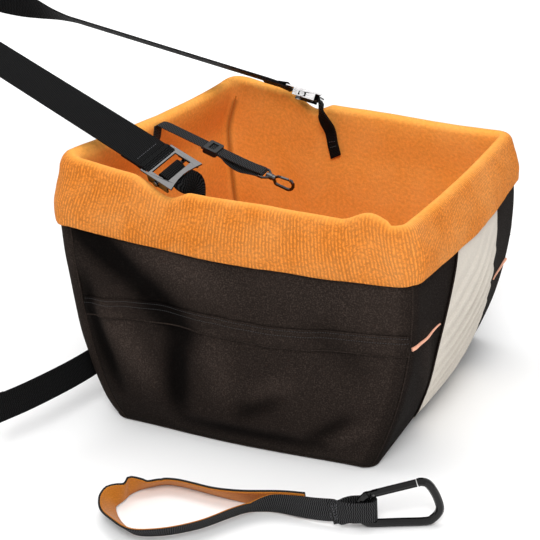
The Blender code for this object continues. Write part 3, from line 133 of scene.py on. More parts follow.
# Cuff
CUFF_STAND = 0.0080
CUFF_LOW_STAND = 0.0045
CUFF_PUFF = 0.0035
BACK_CUFF_DROP = 0.069
FRONT_CUFF_DROP = 0.053
CUFF_MIDDLE = CUFF_STAND + LINER / 2
CUFF_LOW_MIDDLE = CUFF_LOW_STAND + LINER / 2
CORNER_PUFF = 0.0075
NEAR_BUNCHES = ((0.2, 0.85), (8.2, 1.1))
FAR_BUNCH = (6.5, 0.6)
FAR_BUNCH_SHARE = 0.6
ROLL_LUMPS = 0.07
ROLL_PUFF_SHARE = 0.6
LINER_BUNCH = 0.0036
LINER_TUCK = 0.0004
LINER_FOLDS = 0.0026
CUFF_LUMPS = 0.0016
CUFF_RIPPLES = 0.0005
CUFF_WAVE = 0.0012
SEAM_DENT = 0.0012
SEAM_END = 0.012
# Reach of the painted shade on the liner's inside round each corner seam
SEAM_SHADE = 0.007
LINER_ROWS = {"inside": 44, "roll": 12, "cuff": 16, "hem": 5, "tuck": 2}

# Rows from the roll's crest: down to the one along which the cuff's texture is measured, and to
# the one under which the inside gets painted shade at its corner seams
CUFF_MEASURE = 14
INSIDE_MEASURE = 8
ROLL_RADIUS = (CUFF_MIDDLE - LINER_MIDDLE) / 2
ROLL_MIDDLE = (CUFF_MIDDLE + LINER_MIDDLE) / 2
HEM_TURN = 0.0016
HEM_TUCK = 0.010

# Pockets, panel and piping
FLAP_TOP = 0.157
FLAP_DROP = 0.020
FLAP_LAP = 0.004
FLAP_WAVE = 0.008
FLAP_WAVE_SHARES = (-0.6, 0.0, 0.9, 0.9, 0.5, 0.2, -0.4, -0.8, -0.6, 0.0, 0.2, 0.4)
FLAP_SEWN_SHARE = 0.12
FLAP_OPEN_SHARE = 0.2
FLAP_RIPPLES = 0.0005
FLAP_ROWS = 12
FLAP_STITCHES = (0.0022, 0.0062)
POCKET_ROWS = 36
POCKET_FOOT = 0.004
POCKET_BELLY = 0.002
POCKET_PINCH = 0.0018
POCKET_PINCH_HEIGHT = 0.010
POCKET_LUMPS = 0.0007
PANEL_COLUMNS = 90
PANEL_ROWS = 110
PANEL_MEASURE = 60
PANEL_FOOT = 0.010
PANEL_TUCK = 0.010
PANEL_NEAR_SHARE = 0.33
PANEL_FAR_SHARE = 0.79
NEAR_SLANT_SHARE = 0.055
NEAR_BOW_SHARE = 0.115
FAR_SLANT_SHARE = 0.040
FAR_BOW_SHARE = 0.075
PLEAT_SLOPE = 2.3
PLEAT_PITCH = 0.044
PLEAT_DEPTH = 0.0042
PLEAT_RISE_SHARE = 0.78
PLEAT_WANDER = 0.35
PANEL_RIPPLES = 0.0007
NEAR_PIPING_HEIGHT = 0.143
FAR_PIPING_HEIGHT = 0.112
PIPING_WAVE = 0.0006
PIPING_OUT = 0.0006
PIPING_THIN = 0.0009
PIPING_SWELL = 0.0011
TAB_COLUMNS = 12
TAB_ROWS = 32
TAB_SEWN = 0.0085

# Radius of each welt, seam and hem
WELTS = {
    "corner": 0.0011,
    "foot": 0.0014,
    "liner": 0.0010,
    "cushion": 0.0016,
    "hem": 0.0009,
    "panel": 0.0009,
}
FOOT_WELT_HEIGHT = 0.0026
FOOT_WELT_OUT = -0.0003
CORNER_WELT_FOOT = 0.003
CORNER_WELT_TUCK = 0.004
CORNER_WELT_OUT = -0.0001

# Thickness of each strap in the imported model
STRAPS = {
    "headrest_strap": 0.0016,
    "near_anchor_webbing": 0.0014,
    "far_anchor_webbing": 0.0014,
    "lower_strap": 0.0016,
    "tether_webbing": 0.0014,
    "belt_tether_webbing": 0.0014,
    "belt_tether_lining": 0.0008,
}
STRAP_EDGE_SHARE = 0.28

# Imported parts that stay, by their finish, and the width of the rounding on their edges
DRESSED = {
    "Plated Steel": ("near_buckle_frame", "far_buckle_frame", "near_lock_bar", "far_lock_bar",
                     "clip_eye", "clip_hook", "clip_gate", "clip_gate_pin", "carabiner_gate_pin",
                     "carabiner_gate_spring"),
    "Black Enamel": ("carabiner_body", "carabiner_gate"),
    "Black Plastic": ("tether_slider",),
    "Pressed Board": ("near_board", "front_board", "far_board", "back_board", "base_board"),
}
ROUNDED = {
    "near_buckle_frame": 0.0007,
    "far_buckle_frame": 0.0007,
    "tether_slider": 0.0004,
    "near_lock_bar": 0.0003,
    "far_lock_bar": 0.0003,
}

# Colour of the wide straps, as a share of the narrow ones' colour
HEAVY_SHADE = 0.25

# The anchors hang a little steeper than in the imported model, from this place on
ANCHOR_PULL = 0.45
ANCHOR_BEND_X = -0.060

# Rows of stitches: the share of a stitch that is a gap, the share of a strap's width that rows
# across it leave free at each edge, and their distances along two of the straps
STITCH_GAP_SHARE = 0.34
STITCH_INSET = 0.14
HEADREST_ROWS = (0.058, 0.062, 0.066, 0.070)
BELT_TETHER_ROWS = (0.003, 0.007, 0.011, 0.0885, 0.0925, 0.0965)
LINING_SHARES = (0.09, 0.91)

# Camera that the photograph was taken with
CAMERA_PLACE = (0.53934339, -1.07023899, 0.63725997)
CAMERA_YAW = math.radians(28.71145538)
CAMERA_PITCH = math.radians(22.65156798)
CAMERA_ROLL = math.radians(3.74343261)
CAMERA_LENS = 76.2913
CAMERA_SENSOR = 36

# Lamps, each with its place and its size, and what they are turned to
LAMPS = (
    ("Key", (0.75, -1.7, 1.9), 0.9),
    ("Fill", (-1.8, -0.9, 1.1), 1.1),
    ("Side", (1.7, -0.8, 0.30), 0.9),
    ("Top", (0.0, 0.3, 2.1), 1.6),
)
LAMP_TARGET = (0, 0, 0.15)
FLOOR_DROP = 0.0002

NEAR, FRONT, FAR, BACK = range(4)
MERGE = 1e-5


# Settings


class ClothSettings(bpy.types.PropertyGroup):
    orange: FloatVectorProperty(name="Orange cloth", description="Colour of the liner and cuff",
                                subtype="COLOR", size=3, default=(0.72, 0.215, 0.026))
    # The brushed inside is a lighter, yellower orange than the cuff: partly the nap's own tone,
    # partly painted light inside the tub
    inside: FloatVectorProperty(name="Liner's inside", description="Colour of the brushed inside",
                                subtype="COLOR", size=3, default=(0.82, 0.340, 0.060))
    black: FloatVectorProperty(name="Black cloth", description="Colour of the shell",
                               subtype="COLOR", size=3, default=(0.0235, 0.0172, 0.0142))
    grey: FloatVectorProperty(name="Pale panel", description="Colour of the front panel",
                              subtype="COLOR", size=3, default=(0.55, 0.507, 0.447))
    piping: FloatVectorProperty(name="Piping", description="Colour of the short piping",
                                subtype="COLOR", size=3, default=(0.80, 0.40, 0.27))
    webbing: FloatVectorProperty(name="Webbing", description="Colour of the straps",
                                 subtype="COLOR", size=3, default=(0.0085, 0.0085, 0.0088))
    rib_pitch: FloatProperty(name="Rib pitch", description="Distance between the cuff's ribs",
                             unit="LENGTH", default=0.0036)
    fold_depth: FloatProperty(name="Fold depth", description="Share of the folds' full depth",
                              subtype="FACTOR", default=1.0, min=0.0, max=1.5)
    strap_rib: FloatProperty(name="Strap rib", description="Distance between the webbing's ribs",
                             unit="LENGTH", default=0.0020)


class MeshSettings(bpy.types.PropertyGroup):
    step: FloatProperty(name="Step", description="Spacing of the cloth's mesh", unit="LENGTH",
                        default=0.0040)
    strap_step: FloatProperty(name="Strap step", description="Spacing along the straps",
                              unit="LENGTH", default=0.0030)
    strap_columns: IntProperty(name="Strap columns", description="Faces across a strap",
                               default=6, min=2)
    stitch: FloatProperty(name="Stitch", description="Length of one stitch", unit="LENGTH",
                          default=0.0026)
    thread: FloatProperty(name="Thread", description="Radius of the sewing thread",
                          unit="LENGTH", default=0.00032)


class StageSettings(bpy.types.PropertyGroup):
    key: FloatProperty(name="Key light", description="Power of the large lamp in front",
                       unit="POWER", default=31.0)
    fill: FloatProperty(name="Fill light", description="Power of the lamp on the left",
                        unit="POWER", default=8.0)
    side: FloatProperty(name="Side light", description="Power of the lamp low on the right",
                        unit="POWER", default=6.0)
    top: FloatProperty(name="Top light", description="Power of the lamp above", unit="POWER",
                       default=22.0)
    ambient: FloatProperty(name="Ambient", description="Strength of the world's light",
                           default=0.56)
    floor: FloatVectorProperty(name="Floor", description="Colour of the floor",
                               subtype="COLOR", size=3, default=(0.97, 0.97, 0.97))


# Walls of the tub. A place round it is a number from 0 to 8: each corner's arc takes the first
# half of a pair and the side after it the second, from the near back corner by the near side.


def smooth(share):
    """A soft step from 0 to 1, and level outside them."""
    share = min(max(share, 0), 1)
    return share * share * (3 - 2 * share)


def pulse(value, centre, reach):
    """1 at the centre, falling softly to 0 at the reach."""
    return smooth(1 - abs(value - centre) / reach)


def station(place):
    """A place as its corner, whether it lies on the side after that, and the share along it."""
    whole = math.floor(place)
    return *divmod(whole % 8, 2), place - whole


def plan_size(share, sizes, power, straight=False):
    """A size of the plan at a share of the height. The boards rise straight over the lowest
    part, and what lies inside them does too."""
    base, belly, rim = sizes
    if straight and share < STRAIGHT_SHARE:
        return base + (plan_size(STRAIGHT_SHARE, sizes, power) - base) * share / STRAIGHT_SHARE
    if share <= BELLY_SHARE:
        rise = max(share / BELLY_SHARE, 0) ** power
        return base + (belly - base) * math.sin(math.pi / 2 * rise)
    return belly + (rim - belly) * smooth((share - BELLY_SHARE) / (1 - BELLY_SHARE))


def plan_corners(share, straight=False):
    back, back_half, front_half = [plan_size(share, sizes, BACK_BELLY_POWER, straight)
                                   for sizes in (BACK_X, BACK_HALF, FRONT_HALF)]
    front = plan_size(share, FRONT_X, FRONT_BELLY_POWER, straight)
    return [Vector((back, -back_half)), Vector((front, -front_half)),
            Vector((front, front_half)), Vector((back, back_half))]


def side_normal(corners, side):
    along = (corners[(side + 1) % 4] - corners[side % 4]).normalized()
    return Vector((along.y, -along.x))


def arc_centre(corners, corner):
    corner %= 4
    before = side_normal(corners, corner + 3)
    after = side_normal(corners, corner)
    return corners[corner] - CORNER_RADII[corner] * (before + after) / (1 + before.dot(after))


def plan_point(share, place, out):
    """A point of the plan at a share of the height, moved outward."""
    corners = plan_corners(share, out < SHELL_MIDDLE - LAYER_GAP)
    corner, on_side, part = station(place)
    after = side_normal(corners, corner)
    radius = CORNER_RADII[corner] + out
    if not on_side:
        before = side_normal(corners, corner + 3)
        direction = before.copy()
        direction.rotate(Matrix.Rotation(-before.angle_signed(after) * part, 2))
        return arc_centre(corners, corner) + direction * radius
    start = arc_centre(corners, corner) + after * radius
    end = arc_centre(corners, corner + 1) + after * (CORNER_RADII[(corner + 1) % 4] + out)
    swell = SIDE_BULGES[corner] * math.sin(math.pi * min(share, 1))
    if corner in (NEAR, FAR):
        swell = max(swell, BASE_BULGE * (1 - share / BELLY_SHARE))
    return start.lerp(end, part) + after * swell * (4 * part * (1 - part)) ** 2


def plain_rim(place):
    """Height of the rim without its fold and dips."""
    corner, on_side, part = station(place)
    start = CORNER_HEIGHTS[corner]
    if not on_side:
        return start
    end = CORNER_HEIGHTS[(corner + 1) % 4]
    sag = SIDE_SAG if corner in (NEAR, FAR) else END_SAG
    return start + (end - start) * part - sag * 4 * part * (1 - part)


def dip(part):
    """How far a buckle presses the rim down, with a long shallow tail in front of it."""
    deep = BUCKLE_DIP * pulse(part, DIP_SHARE, DIP_REACH_SHARE)
    if part < DIP_SHARE:
        return deep
    return max(deep, DIP_TAIL * pulse(part, DIP_SHARE, TAIL_REACH_SHARE))


def rim_height(place):
    """Height of the rim's top, with the fold near the front and the dips at the buckles."""
    place %= 8
    height = plain_rim(place)
    if 1 < place < 2:
        height += RIM_FOLD * pulse(place - 1, FOLD_SHARE, FOLD_REACH_SHARE) - dip(place - 1)
    if 5 < place < 6:
        height -= dip(6 - place)
    return height


def side_place(side, share):
    return 2 * side + 1 + share


def wall_point(place, height, out):
    """A point of the wall's outer face, moved outward."""
    share = min(max(height / rim_height(place), 0), 1)
    return Vector((*plan_point(share, place, out), height))


def wall_length(side):
    corners = plan_corners(1)
    return (corners[(side + 1) % 4] - corners[side]).length


def places_between(start, end, step):
    """Places from one to another, about a step apart on the sides and closer in the corners."""
    found = []
    place = start
    while place < end - MERGE:
        found.append(place)
        corner, on_side, _ = station(place + MERGE)
        arc = math.pi / 2 * (CORNER_RADII[corner] + CUFF_STAND)
        advance = step / (wall_length(corner) if on_side else arc)
        place = min(place + advance, math.floor(place + MERGE) + 1)
        if abs(place - round(place)) < advance * 0.3 and place < end:
            place = float(round(place))
    return found + [end]


def cuff_drop(place):
    x = plan_point(1, place, 0).x
    share = min(max((x - BACK_X[2]) / (FRONT_X[2] - BACK_X[2]), 0), 1)
    return BACK_CUFF_DROP + (FRONT_CUFF_DROP - BACK_CUFF_DROP) * share


def lumps(point, size, seed=0.0):
    """Soft unevenness between -1 and 1, with features of the given size."""
    return noise.noise(point / size + Vector((seed, seed * 0.7, seed * 1.3)))


# Long folds of each side: where each starts and ends, as shares of the side's length and of the
# rim's height, then its width and its depth, inward where negative
FOLDS = {
    NEAR: (
        ((0.0, 0.8), (0.2, 0.64), 0.017, -0.0062),
        ((0.18, 0.66), (0.4, 0.44), 0.018, -0.0052),
        ((0.12, 0.86), (0.52, 0.64), 0.02, 0.0026),
        ((0.34, 0.46), (0.3, 0.12), 0.015, -0.0046),
        ((0.08, 0.52), (0.22, 0.2), 0.022, 0.0038),
        ((0.44, 0.5), (0.5, 0.2), 0.02, 0.0022),
        ((0.56, 0.24), (0.72, 0.36), 0.012, 0.0024),
        ((0.52, 0.16), (0.68, 0.27), 0.012, -0.0026),
        ((0.78, 0.1), (0.92, 0.24), 0.01, -0.0026),
        ((0.86, 0.08), (0.97, 0.2), 0.009, 0.002),
        ((0.02, 0.6), (0.07, 0.16), 0.01, -0.004),
        ((0.74, 0.62), (0.94, 0.4), 0.018, -0.0018),
        ((0.3, 0.085), (0.88, 0.08), 0.008, -0.003),
    ),
    FAR: (
        ((0.66, 0.58), (1.0, 0.78), 0.014, -0.004),
        ((0.52, 0.36), (0.86, 0.5), 0.016, 0.0028),
        ((0.7, 0.14), (0.84, 0.46), 0.014, -0.0036),
        ((0.16, 0.12), (0.3, 0.3), 0.012, -0.0026),
        ((0.12, 0.08), (0.7, 0.09), 0.008, -0.0022),
    ),
    FRONT: (
        ((0.04, 0.6), (0.2, 0.2), 0.012, 0.0016),
        ((0.1, 0.08), (0.9, 0.08), 0.008, 0.0012),
    ),
    BACK: (
        ((0.08, 0.74), (0.3, 0.5), 0.016, 0.003),
        ((0.92, 0.72), (0.66, 0.5), 0.016, 0.0026),
        ((0.4, 0.6), (0.6, 0.64), 0.02, 0.0018),
    ),
}
PUFFS = {NEAR: 0.0056, FRONT: 0.0004, FAR: 0.0036, BACK: 0.0006}
# Painted light of each side of the shell, added to its painted fold shading: the front is painted
# darkest and the near side lightest
PAINTED_SIDE_LIGHT = {NEAR: -0.0003, FRONT: -0.0026, FAR: -0.0010, BACK: -0.0012}


def fold_sum(place, height):
    """Ridges less valleys of the shell's cloth here."""
    corner, on_side, part = station(place)
    total = 0.0
    rim = plain_rim(place)
    for side in (corner,) if on_side else (corner, (corner + 3) % 4):
        length = wall_length(side)
        across = part if on_side else float(side != corner)
        here = Vector((across * length, height))
        for (part_a, share_a), (part_b, share_b), width, depth in FOLDS[side]:
            a = Vector((part_a * length, share_a * rim))
            along = Vector((part_b * length, share_b * rim)) - a
            reach = (here - a).dot(along) / along.length_squared
            taper = smooth(1.25 - abs(reach - 0.5) * 1.8)
            distance = (here - a - along * min(max(reach, 0), 1)).length / width
            total += depth * taper * math.exp(-distance * distance)
    return total if on_side else total * abs(2 * part - 1)


def fold_out(place, height):
    """How far the shell's cloth stands out here because of its folds."""
    corner, on_side, part = station(place)
    total = fold_sum(place, height)
    if on_side:
        total += PUFFS[corner] * (4 * part * (1 - part)) ** 0.5
    low = plain_rim(place) - cuff_drop(place)
    window = smooth((height - FOLD_FOOT) / FOLD_FOOT_FADE)
    window *= smooth((low - FOLD_TOP_GAP - height) / FOLD_FADE)
    if corner == BACK or not on_side and corner == NEAR:
        window *= smooth((height - BACK_FOLD_FOOT) / FOLD_FADE)
    total *= window * bpy.context.scene.cloth_settings.fold_depth
    return max(total, FOLD_LIMIT)


def painted_light_level(place, height):
    """Painted light and shade of the cloth here: lighter on its ridges and darker in its valleys,
    set per side with the front darkest and the near side lightest, and lighter towards the near
    front and higher up.
    """
    corner, on_side, part = station(place)
    level = PAINTED_SIDE_LIGHT[corner]
    if not on_side:
        before = PAINTED_SIDE_LIGHT[(corner + 3) % 4]
        level = before + (level - before) * part
    elif corner == NEAR:
        level += 0.0012 * (2 * part - 1)
    return fold_sum(place, height) + level + 0.006 * (height - 0.12)


def corner_near(place, reach):
    """1 at the middle of a corner, falling to 0 over about twice the reach from it."""
    corner, on_side, part = station(place)
    if on_side:
        nearer = (corner + round(part)) % 4
        distance = min(part, 1 - part) * wall_length(corner)
        distance += CORNER_RADII[nearer] * math.pi / 4
    else:
        distance = abs(part - 0.5) * CORNER_RADII[corner] * math.pi / 2
    return math.exp(-(distance / reach) ** 2)


# Meshes


def finish_piece(name, bm, finish, body="tub", replaces=()):
    """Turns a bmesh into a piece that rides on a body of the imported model."""
    mesh = bpy.data.meshes.new(name)
    bm.to_mesh(mesh)
    bm.free()
    mesh.materials.append(material(finish))
    mesh.shade_smooth()
    piece = bpy.data.objects.new(name, mesh)
    bpy.context.scene.collection.objects.link(piece)
    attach(piece, body)
    if replaces:
        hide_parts(*replaces)
    return piece


def grid_mesh(columns, rows, place, texture, painted_shading=None):
    """A grid whose points and texture points are given for each column and row, and with them
    the painted light and shade of each point's cloth."""
    bm = bmesh.new()
    layer = bm.loops.layers.uv.new("UVMap")
    # Painted light and shade of each point, which the cloth materials turn into colour
    folds = bm.verts.layers.float.new("Raised")
    bmesh.ops.create_grid(bm, x_segments=columns, y_segments=rows, size=0.5)
    spots = {}
    for vert in bm.verts:
        column = round((vert.co.x + 0.5) * columns)
        row = round((vert.co.y + 0.5) * rows)
        spots[vert] = (column, row)
    for face in bm.faces:
        for loop in face.loops:
            loop[layer].uv = texture(*spots[loop.vert])
    for vert, (column, row) in spots.items():
        vert.co = place(column, row)
        vert[folds] = painted_shading(column, row) if painted_shading else 0.0
    return bm


def columns_of(places, rows, point):
    """Columns of points side by side, each from share 0 at its foot to share 1."""
    return [[point(place, row / rows) for row in range(rows + 1)] for place in places]


def columns_mesh(columns, row, places=None):
    """A grid through columns of points. Its texture runs along the given row and up the height,
    and where the columns' places are given it carries the cloth's painted light and shade."""
    across = arc_lengths([column[row] for column in columns])
    return grid_mesh(len(columns) - 1, len(columns[0]) - 1, lambda c, r: columns[c][r],
                     lambda c, r: (across[c], columns[c][r].z),
                     places and (lambda c, r: painted_light_level(places[c], columns[c][r].z)))


def thicken(piece, thickness, edge=0.0):
    """Gives a sheet its thickness, and rounds its cut edges."""
    solid = piece.modifiers.new("Thickness", "SOLIDIFY")
    solid.thickness = thickness
    solid.offset = 0
    if edge:
        bevel = piece.modifiers.new("Edge", "BEVEL")
        bevel.width = edge
        bevel.segments = 2
        bevel.angle_limit = math.radians(60)


def arc_lengths(points):
    lengths = [0.0]
    for a, b in zip(points, points[1:]):
        lengths.append(lengths[-1] + (b - a).length)
    return lengths


def curve_through(points, steps):
    """A smooth curve through points."""
    ends = [2 * points[0] - points[1], *points, 2 * points[-1] - points[-2]]
    found = []
    for k in range(1, len(ends) - 2):
        p0, p1, p2, p3 = ends[k - 1:k + 3]
        count = steps[k - 1]
        for step in range(count):
            t = step / count
            found.append(((2 * p1) + (p2 - p0) * t + (2 * p0 - 5 * p1 + 4 * p2 - p3) * t ** 2
                          + (3 * p1 - p0 - 3 * p2 + p3) * t ** 3) / 2)
    return found + [points[-1].copy()]


def join_rings(bm, low, high, shift=0):
    """Faces between two rings with as many points each."""
    count = len(low)
    for k in range(count):
        following = (k + 1) % count
        bm.faces.new((low[k], low[following], high[(following + shift) % count],
                      high[(k + shift) % count]))


def tube_mesh(bm, points, radius, sides=8, closed=False):
    """Adds a round tube along points to a bmesh."""
    rings = []
    count = len(points)
    side = None
    for k, point in enumerate(points):
        if closed:
            along = (points[(k + 1) % count] - points[k - 1]).normalized()
        else:
            along = (points[min(k + 1, count - 1)] - points[max(k - 1, 0)]).normalized()
        if side is None:
            side = along.orthogonal().normalized()
        side = (side - along * side.dot(along)).normalized()
        other = along.cross(side)
        size = radius[k] if isinstance(radius, list) else radius
        circle = bmesh.ops.create_circle(bm, segments=sides, radius=size)["verts"]
        turn = Matrix((side, other, along)).transposed().to_4x4()
        turn.translation = point
        bmesh.ops.transform(bm, matrix=turn, verts=circle)
        rings.append(circle)
    pairs = list(zip(rings, rings[1:]))
    if closed:
        pairs.append((rings[-1], rings[0]))
    for low, high in pairs:
        shift = min(range(sides), key=lambda s: (low[0].co - high[s].co).length)
        join_rings(bm, low, high, shift)
    if not closed:
        bm.faces.new(rings[0])
        bm.faces.new(rings[-1])
    bmesh.ops.recalc_face_normals(bm, faces=bm.faces)


def add_stitch(bm, start, end, lift, thread):
    """One stitch: a short thread that rises in its middle and dips into the cloth at its ends."""
    middle = (start + end) / 2 + lift * thread * 0.5
    along = end - start
    across = lift.cross(along).normalized()
    matrix = Matrix((along.normalized(), across, lift.normalized())).transposed().to_4x4()
    matrix.translation = middle
    scale = Matrix.Diagonal((along.length * 0.56, thread, thread, 1))
    ball = bmesh.ops.create_icosphere(bm, subdivisions=1, radius=1)["verts"]
    bmesh.ops.transform(bm, matrix=matrix @ scale, verts=ball)


def add_stitch_row(bm, points, normals):
    """Stitches of even length along a line of points."""
    settings = bpy.context.scene.mesh_settings
    lengths = arc_lengths(points)
    count = max(int(lengths[-1] / settings.stitch), 1)
    step = lengths[-1] / count

    def at(distance):
        k = 0
        while k < len(lengths) - 2 and lengths[k + 1] < distance:
            k += 1
        part = (distance - lengths[k]) / max(lengths[k + 1] - lengths[k], MERGE)
        return (points[k].lerp(points[k + 1], part),
                normals[k].lerp(normals[k + 1], part).normalized())

    for k in range(count):
        start, lift = at(step * k)
        end, _ = at(step * (k + 1 - STITCH_GAP_SHARE))
        add_stitch(bm, start, end, lift, settings.thread)


# Materials


class Tree:
    """Builds a node tree with short calls."""

    def __init__(self, tree):
        self.tree = tree

    def node(self, kind, inputs=(), **settings):
        made = self.tree.nodes.new(kind)
        for name, value in settings.items():
            setattr(made, name, value)
        for socket, value in dict(inputs).items():
            self.feed(made.inputs[socket], value)
        return made

    def feed(self, socket, value):
        if isinstance(value, bpy.types.NodeSocket):
            self.tree.links.new(value, socket)
        else:
            socket.default_value = value

    def maths(self, operation, *values):
        made = self.node("ShaderNodeMath", operation=operation)
        for socket, value in zip(made.inputs, values):
            self.feed(socket, value)
        return made.outputs[0]

    def wave(self, value, turn):
        return self.maths("SINE", self.maths("MULTIPLY", value, turn))

    def mix(self, factor, a, b, blend="MIX"):
        made = self.node("ShaderNodeMix", data_type="RGBA", blend_type=blend)
        self.feed(made.inputs[0], factor)
        self.feed(made.inputs[6], a)
        self.feed(made.inputs[7], b)
        return made.outputs[2]

    def noise(self, vector, scale, detail=2.0, roughness=0.5):
        made = self.node("ShaderNodeTexNoise", {"Vector": vector, "Scale": scale,
                                                "Detail": detail, "Roughness": roughness})
        return made.outputs["Fac"]

    def ramp(self, factor, low, high, to_low=0.0, to_high=1.0):
        made = self.node("ShaderNodeMapRange", {"Value": factor, "From Min": low,
                                                "From Max": high, "To Min": to_low,
                                                "To Max": to_high})
        made.interpolation_type = "SMOOTHSTEP"
        return made.outputs[0]

    def split(self, vector):
        return self.node("ShaderNodeSeparateXYZ", {0: vector}).outputs

    def join(self, x, y, z):
        return self.node("ShaderNodeCombineXYZ", {0: x, 1: y, 2: z}).outputs[0]

    def bump(self, height, strength, distance):
        made = self.node("ShaderNodeBump", {"Strength": strength, "Distance": distance,
                                            "Height": height})
        return made.outputs[0]

    def dim(self, colour, level):
        return self.mix(1.0, colour, self.join(level, level, level), "MULTIPLY")

    def principled(self, inputs):
        """Ends the tree with a shader whose sockets are given by name."""
        shader = self.node("ShaderNodeBsdfPrincipled", inputs)
        self.node("ShaderNodeOutputMaterial", {0: shader.outputs[0]})


def group(name, numbers, outputs, build):
    """A shader group made once. A vector and some numbers go in, and numbers come out."""
    found = bpy.data.node_groups.get(name)
    if found:
        return found
    made = bpy.data.node_groups.new(name, "ShaderNodeTree")
    made.interface.new_socket("Vector", in_out="INPUT", socket_type="NodeSocketVector")
    for labels, way in ((numbers, "INPUT"), (outputs, "OUTPUT")):
        for label in labels:
            made.interface.new_socket(label, in_out=way, socket_type="NodeSocketFloat")
    tree = Tree(made)
    entry = made.nodes.new("NodeGroupInput").outputs
    results = build(tree, *(entry[label] for label in ("Vector", *numbers)))
    tree.node("NodeGroupOutput", results)
    return made


def weave_group():
    """Fine crossed threads: their height and a speckle of light and dark threads."""

    def build(tree, vector, pitch):
        x, y, _ = tree.split(vector)
        turn = tree.maths("DIVIDE", 2 * math.pi, pitch)
        crossed = tree.maths("MULTIPLY", tree.wave(x, turn), tree.wave(y, turn))
        grain = tree.noise(vector, tree.maths("DIVIDE", 0.7, pitch), 2.0, 0.6)
        height = tree.maths("MULTIPLY_ADD", crossed, 0.25, grain)
        cloud = tree.noise(vector, 22.0, 3.0, 0.55)
        return {"Height": height, "Speckle": tree.ramp(grain, 0.42, 0.75),
                "Cloud": tree.ramp(cloud, 0.3, 0.7)}

    return group("Fine Weave", ["Pitch"], ["Height", "Speckle", "Cloud"], build)


def rib_group():
    """Rows of small tufts: ribs across X that a second pattern breaks up along Y."""

    def build(tree, vector, pitch):
        x, y, z = tree.split(vector)
        drift = tree.noise(vector, 160.0, 2.0, 0.5)
        offset = tree.maths("MULTIPLY_ADD", drift, tree.maths("MULTIPLY", pitch, 0.55), x)
        turn = tree.maths("DIVIDE", 2 * math.pi, pitch)
        ridge = tree.maths("MULTIPLY_ADD", tree.wave(offset, turn), 0.5, 0.5)
        stretched = tree.join(tree.maths("DIVIDE", x, pitch),
                              tree.maths("DIVIDE", y, tree.maths("MULTIPLY", pitch, 0.8)), z)
        tufts = tree.noise(stretched, 1.05, 3.0, 0.7)
        fuzz = tree.noise(vector, 1500.0, 2.0, 0.7)
        patches = tree.ramp(tree.noise(vector, 45.0, 3.0, 0.6), 0.35, 0.62, 0.35, 1.0)
        calm = tree.maths("MULTIPLY_ADD", tree.maths("SUBTRACT", ridge, 0.6), patches, 0.6)
        body = tree.maths("MULTIPLY", tree.ramp(tufts, 0.28, 0.66), calm)
        height = tree.maths("MULTIPLY_ADD", fuzz, 0.25, body)
        return {"Height": height, "Tuft": tree.ramp(height, 0.05, 0.95)}

    return group("Tufted Ribs", ["Pitch"], ["Height", "Tuft"], build)


def webbing_group():
    """Webbing: ribs across the strap, with a finer twill and some fuzz over them."""

    def build(tree, vector, pitch):
        x, y, _ = tree.split(vector)
        turn = tree.maths("DIVIDE", 2 * math.pi, pitch)
        slant = tree.maths("MULTIPLY_ADD", tree.maths("PINGPONG", y, 0.0026), 0.35, x)
        rib = tree.maths("MULTIPLY_ADD", tree.wave(slant, turn), 0.5, 0.5)
        cross = tree.wave(y, tree.maths("MULTIPLY", turn, 1.3))
        height = tree.maths("MULTIPLY_ADD", cross, 0.18, rib)
        fuzz = tree.noise(vector, 900.0, 2.0, 0.6)
        height = tree.maths("MULTIPLY_ADD", fuzz, 0.35, height)
        # Light is the ribs' height as a colour mask: painted highlight on the rib tops and painted
        # shade between them
        return {"Height": height, "Light": tree.ramp(height, 0.2, 1.3)}

    return group("Webbing Ribs", ["Pitch"], ["Height", "Light"], build)


def wear_group():
    """Faint handling marks of metal and plastic: smudges and fine scratches."""

    def build(tree, vector):
        smudge = tree.noise(vector, 60.0, 4.0, 0.6)
        x, y, z = tree.split(vector)
        drawn = tree.join(tree.maths("MULTIPLY", x, 90.0), tree.maths("MULTIPLY", y, 900.0),
                          tree.maths("MULTIPLY", z, 900.0))
        scratch = tree.noise(drawn, 1.0, 2.0, 0.6)
        return {"Smudge": tree.ramp(smudge, 0.35, 0.75), "Scratch": scratch}

    return group("Handling Marks", [], ["Smudge", "Scratch"], build)


def new_material(name):
    """A material without nodes, and the tree to build them in."""
    found = bpy.data.materials.new(name)
    found.use_nodes = True
    found.node_tree.nodes.clear()
    return found, Tree(found.node_tree)


def shade(colour, factor):
    return (*(min(channel * factor, 1) for channel in colour), 1)


def uv(tree):
    return tree.node("ShaderNodeTexCoord").outputs["UV"]


def object_place(tree):
    return tree.node("ShaderNodeTexCoord").outputs["Object"]


# The painted light and shade that a piece's mesh carries
def painted_shading_attribute(tree):
    return tree.node("ShaderNodeAttribute", attribute_name="Raised").outputs["Fac"]


def seen_ray(tree):
    """1 for the rays that show the background: those of the camera and of gloss."""
    path = tree.node("ShaderNodeLightPath").outputs
    return tree.maths("MAXIMUM", path["Is Camera Ray"], path["Is Glossy Ray"])


def use_group(tree, made, vector, **values):
    return tree.node("ShaderNodeGroup", {"Vector": vector, **values}, node_tree=made).outputs


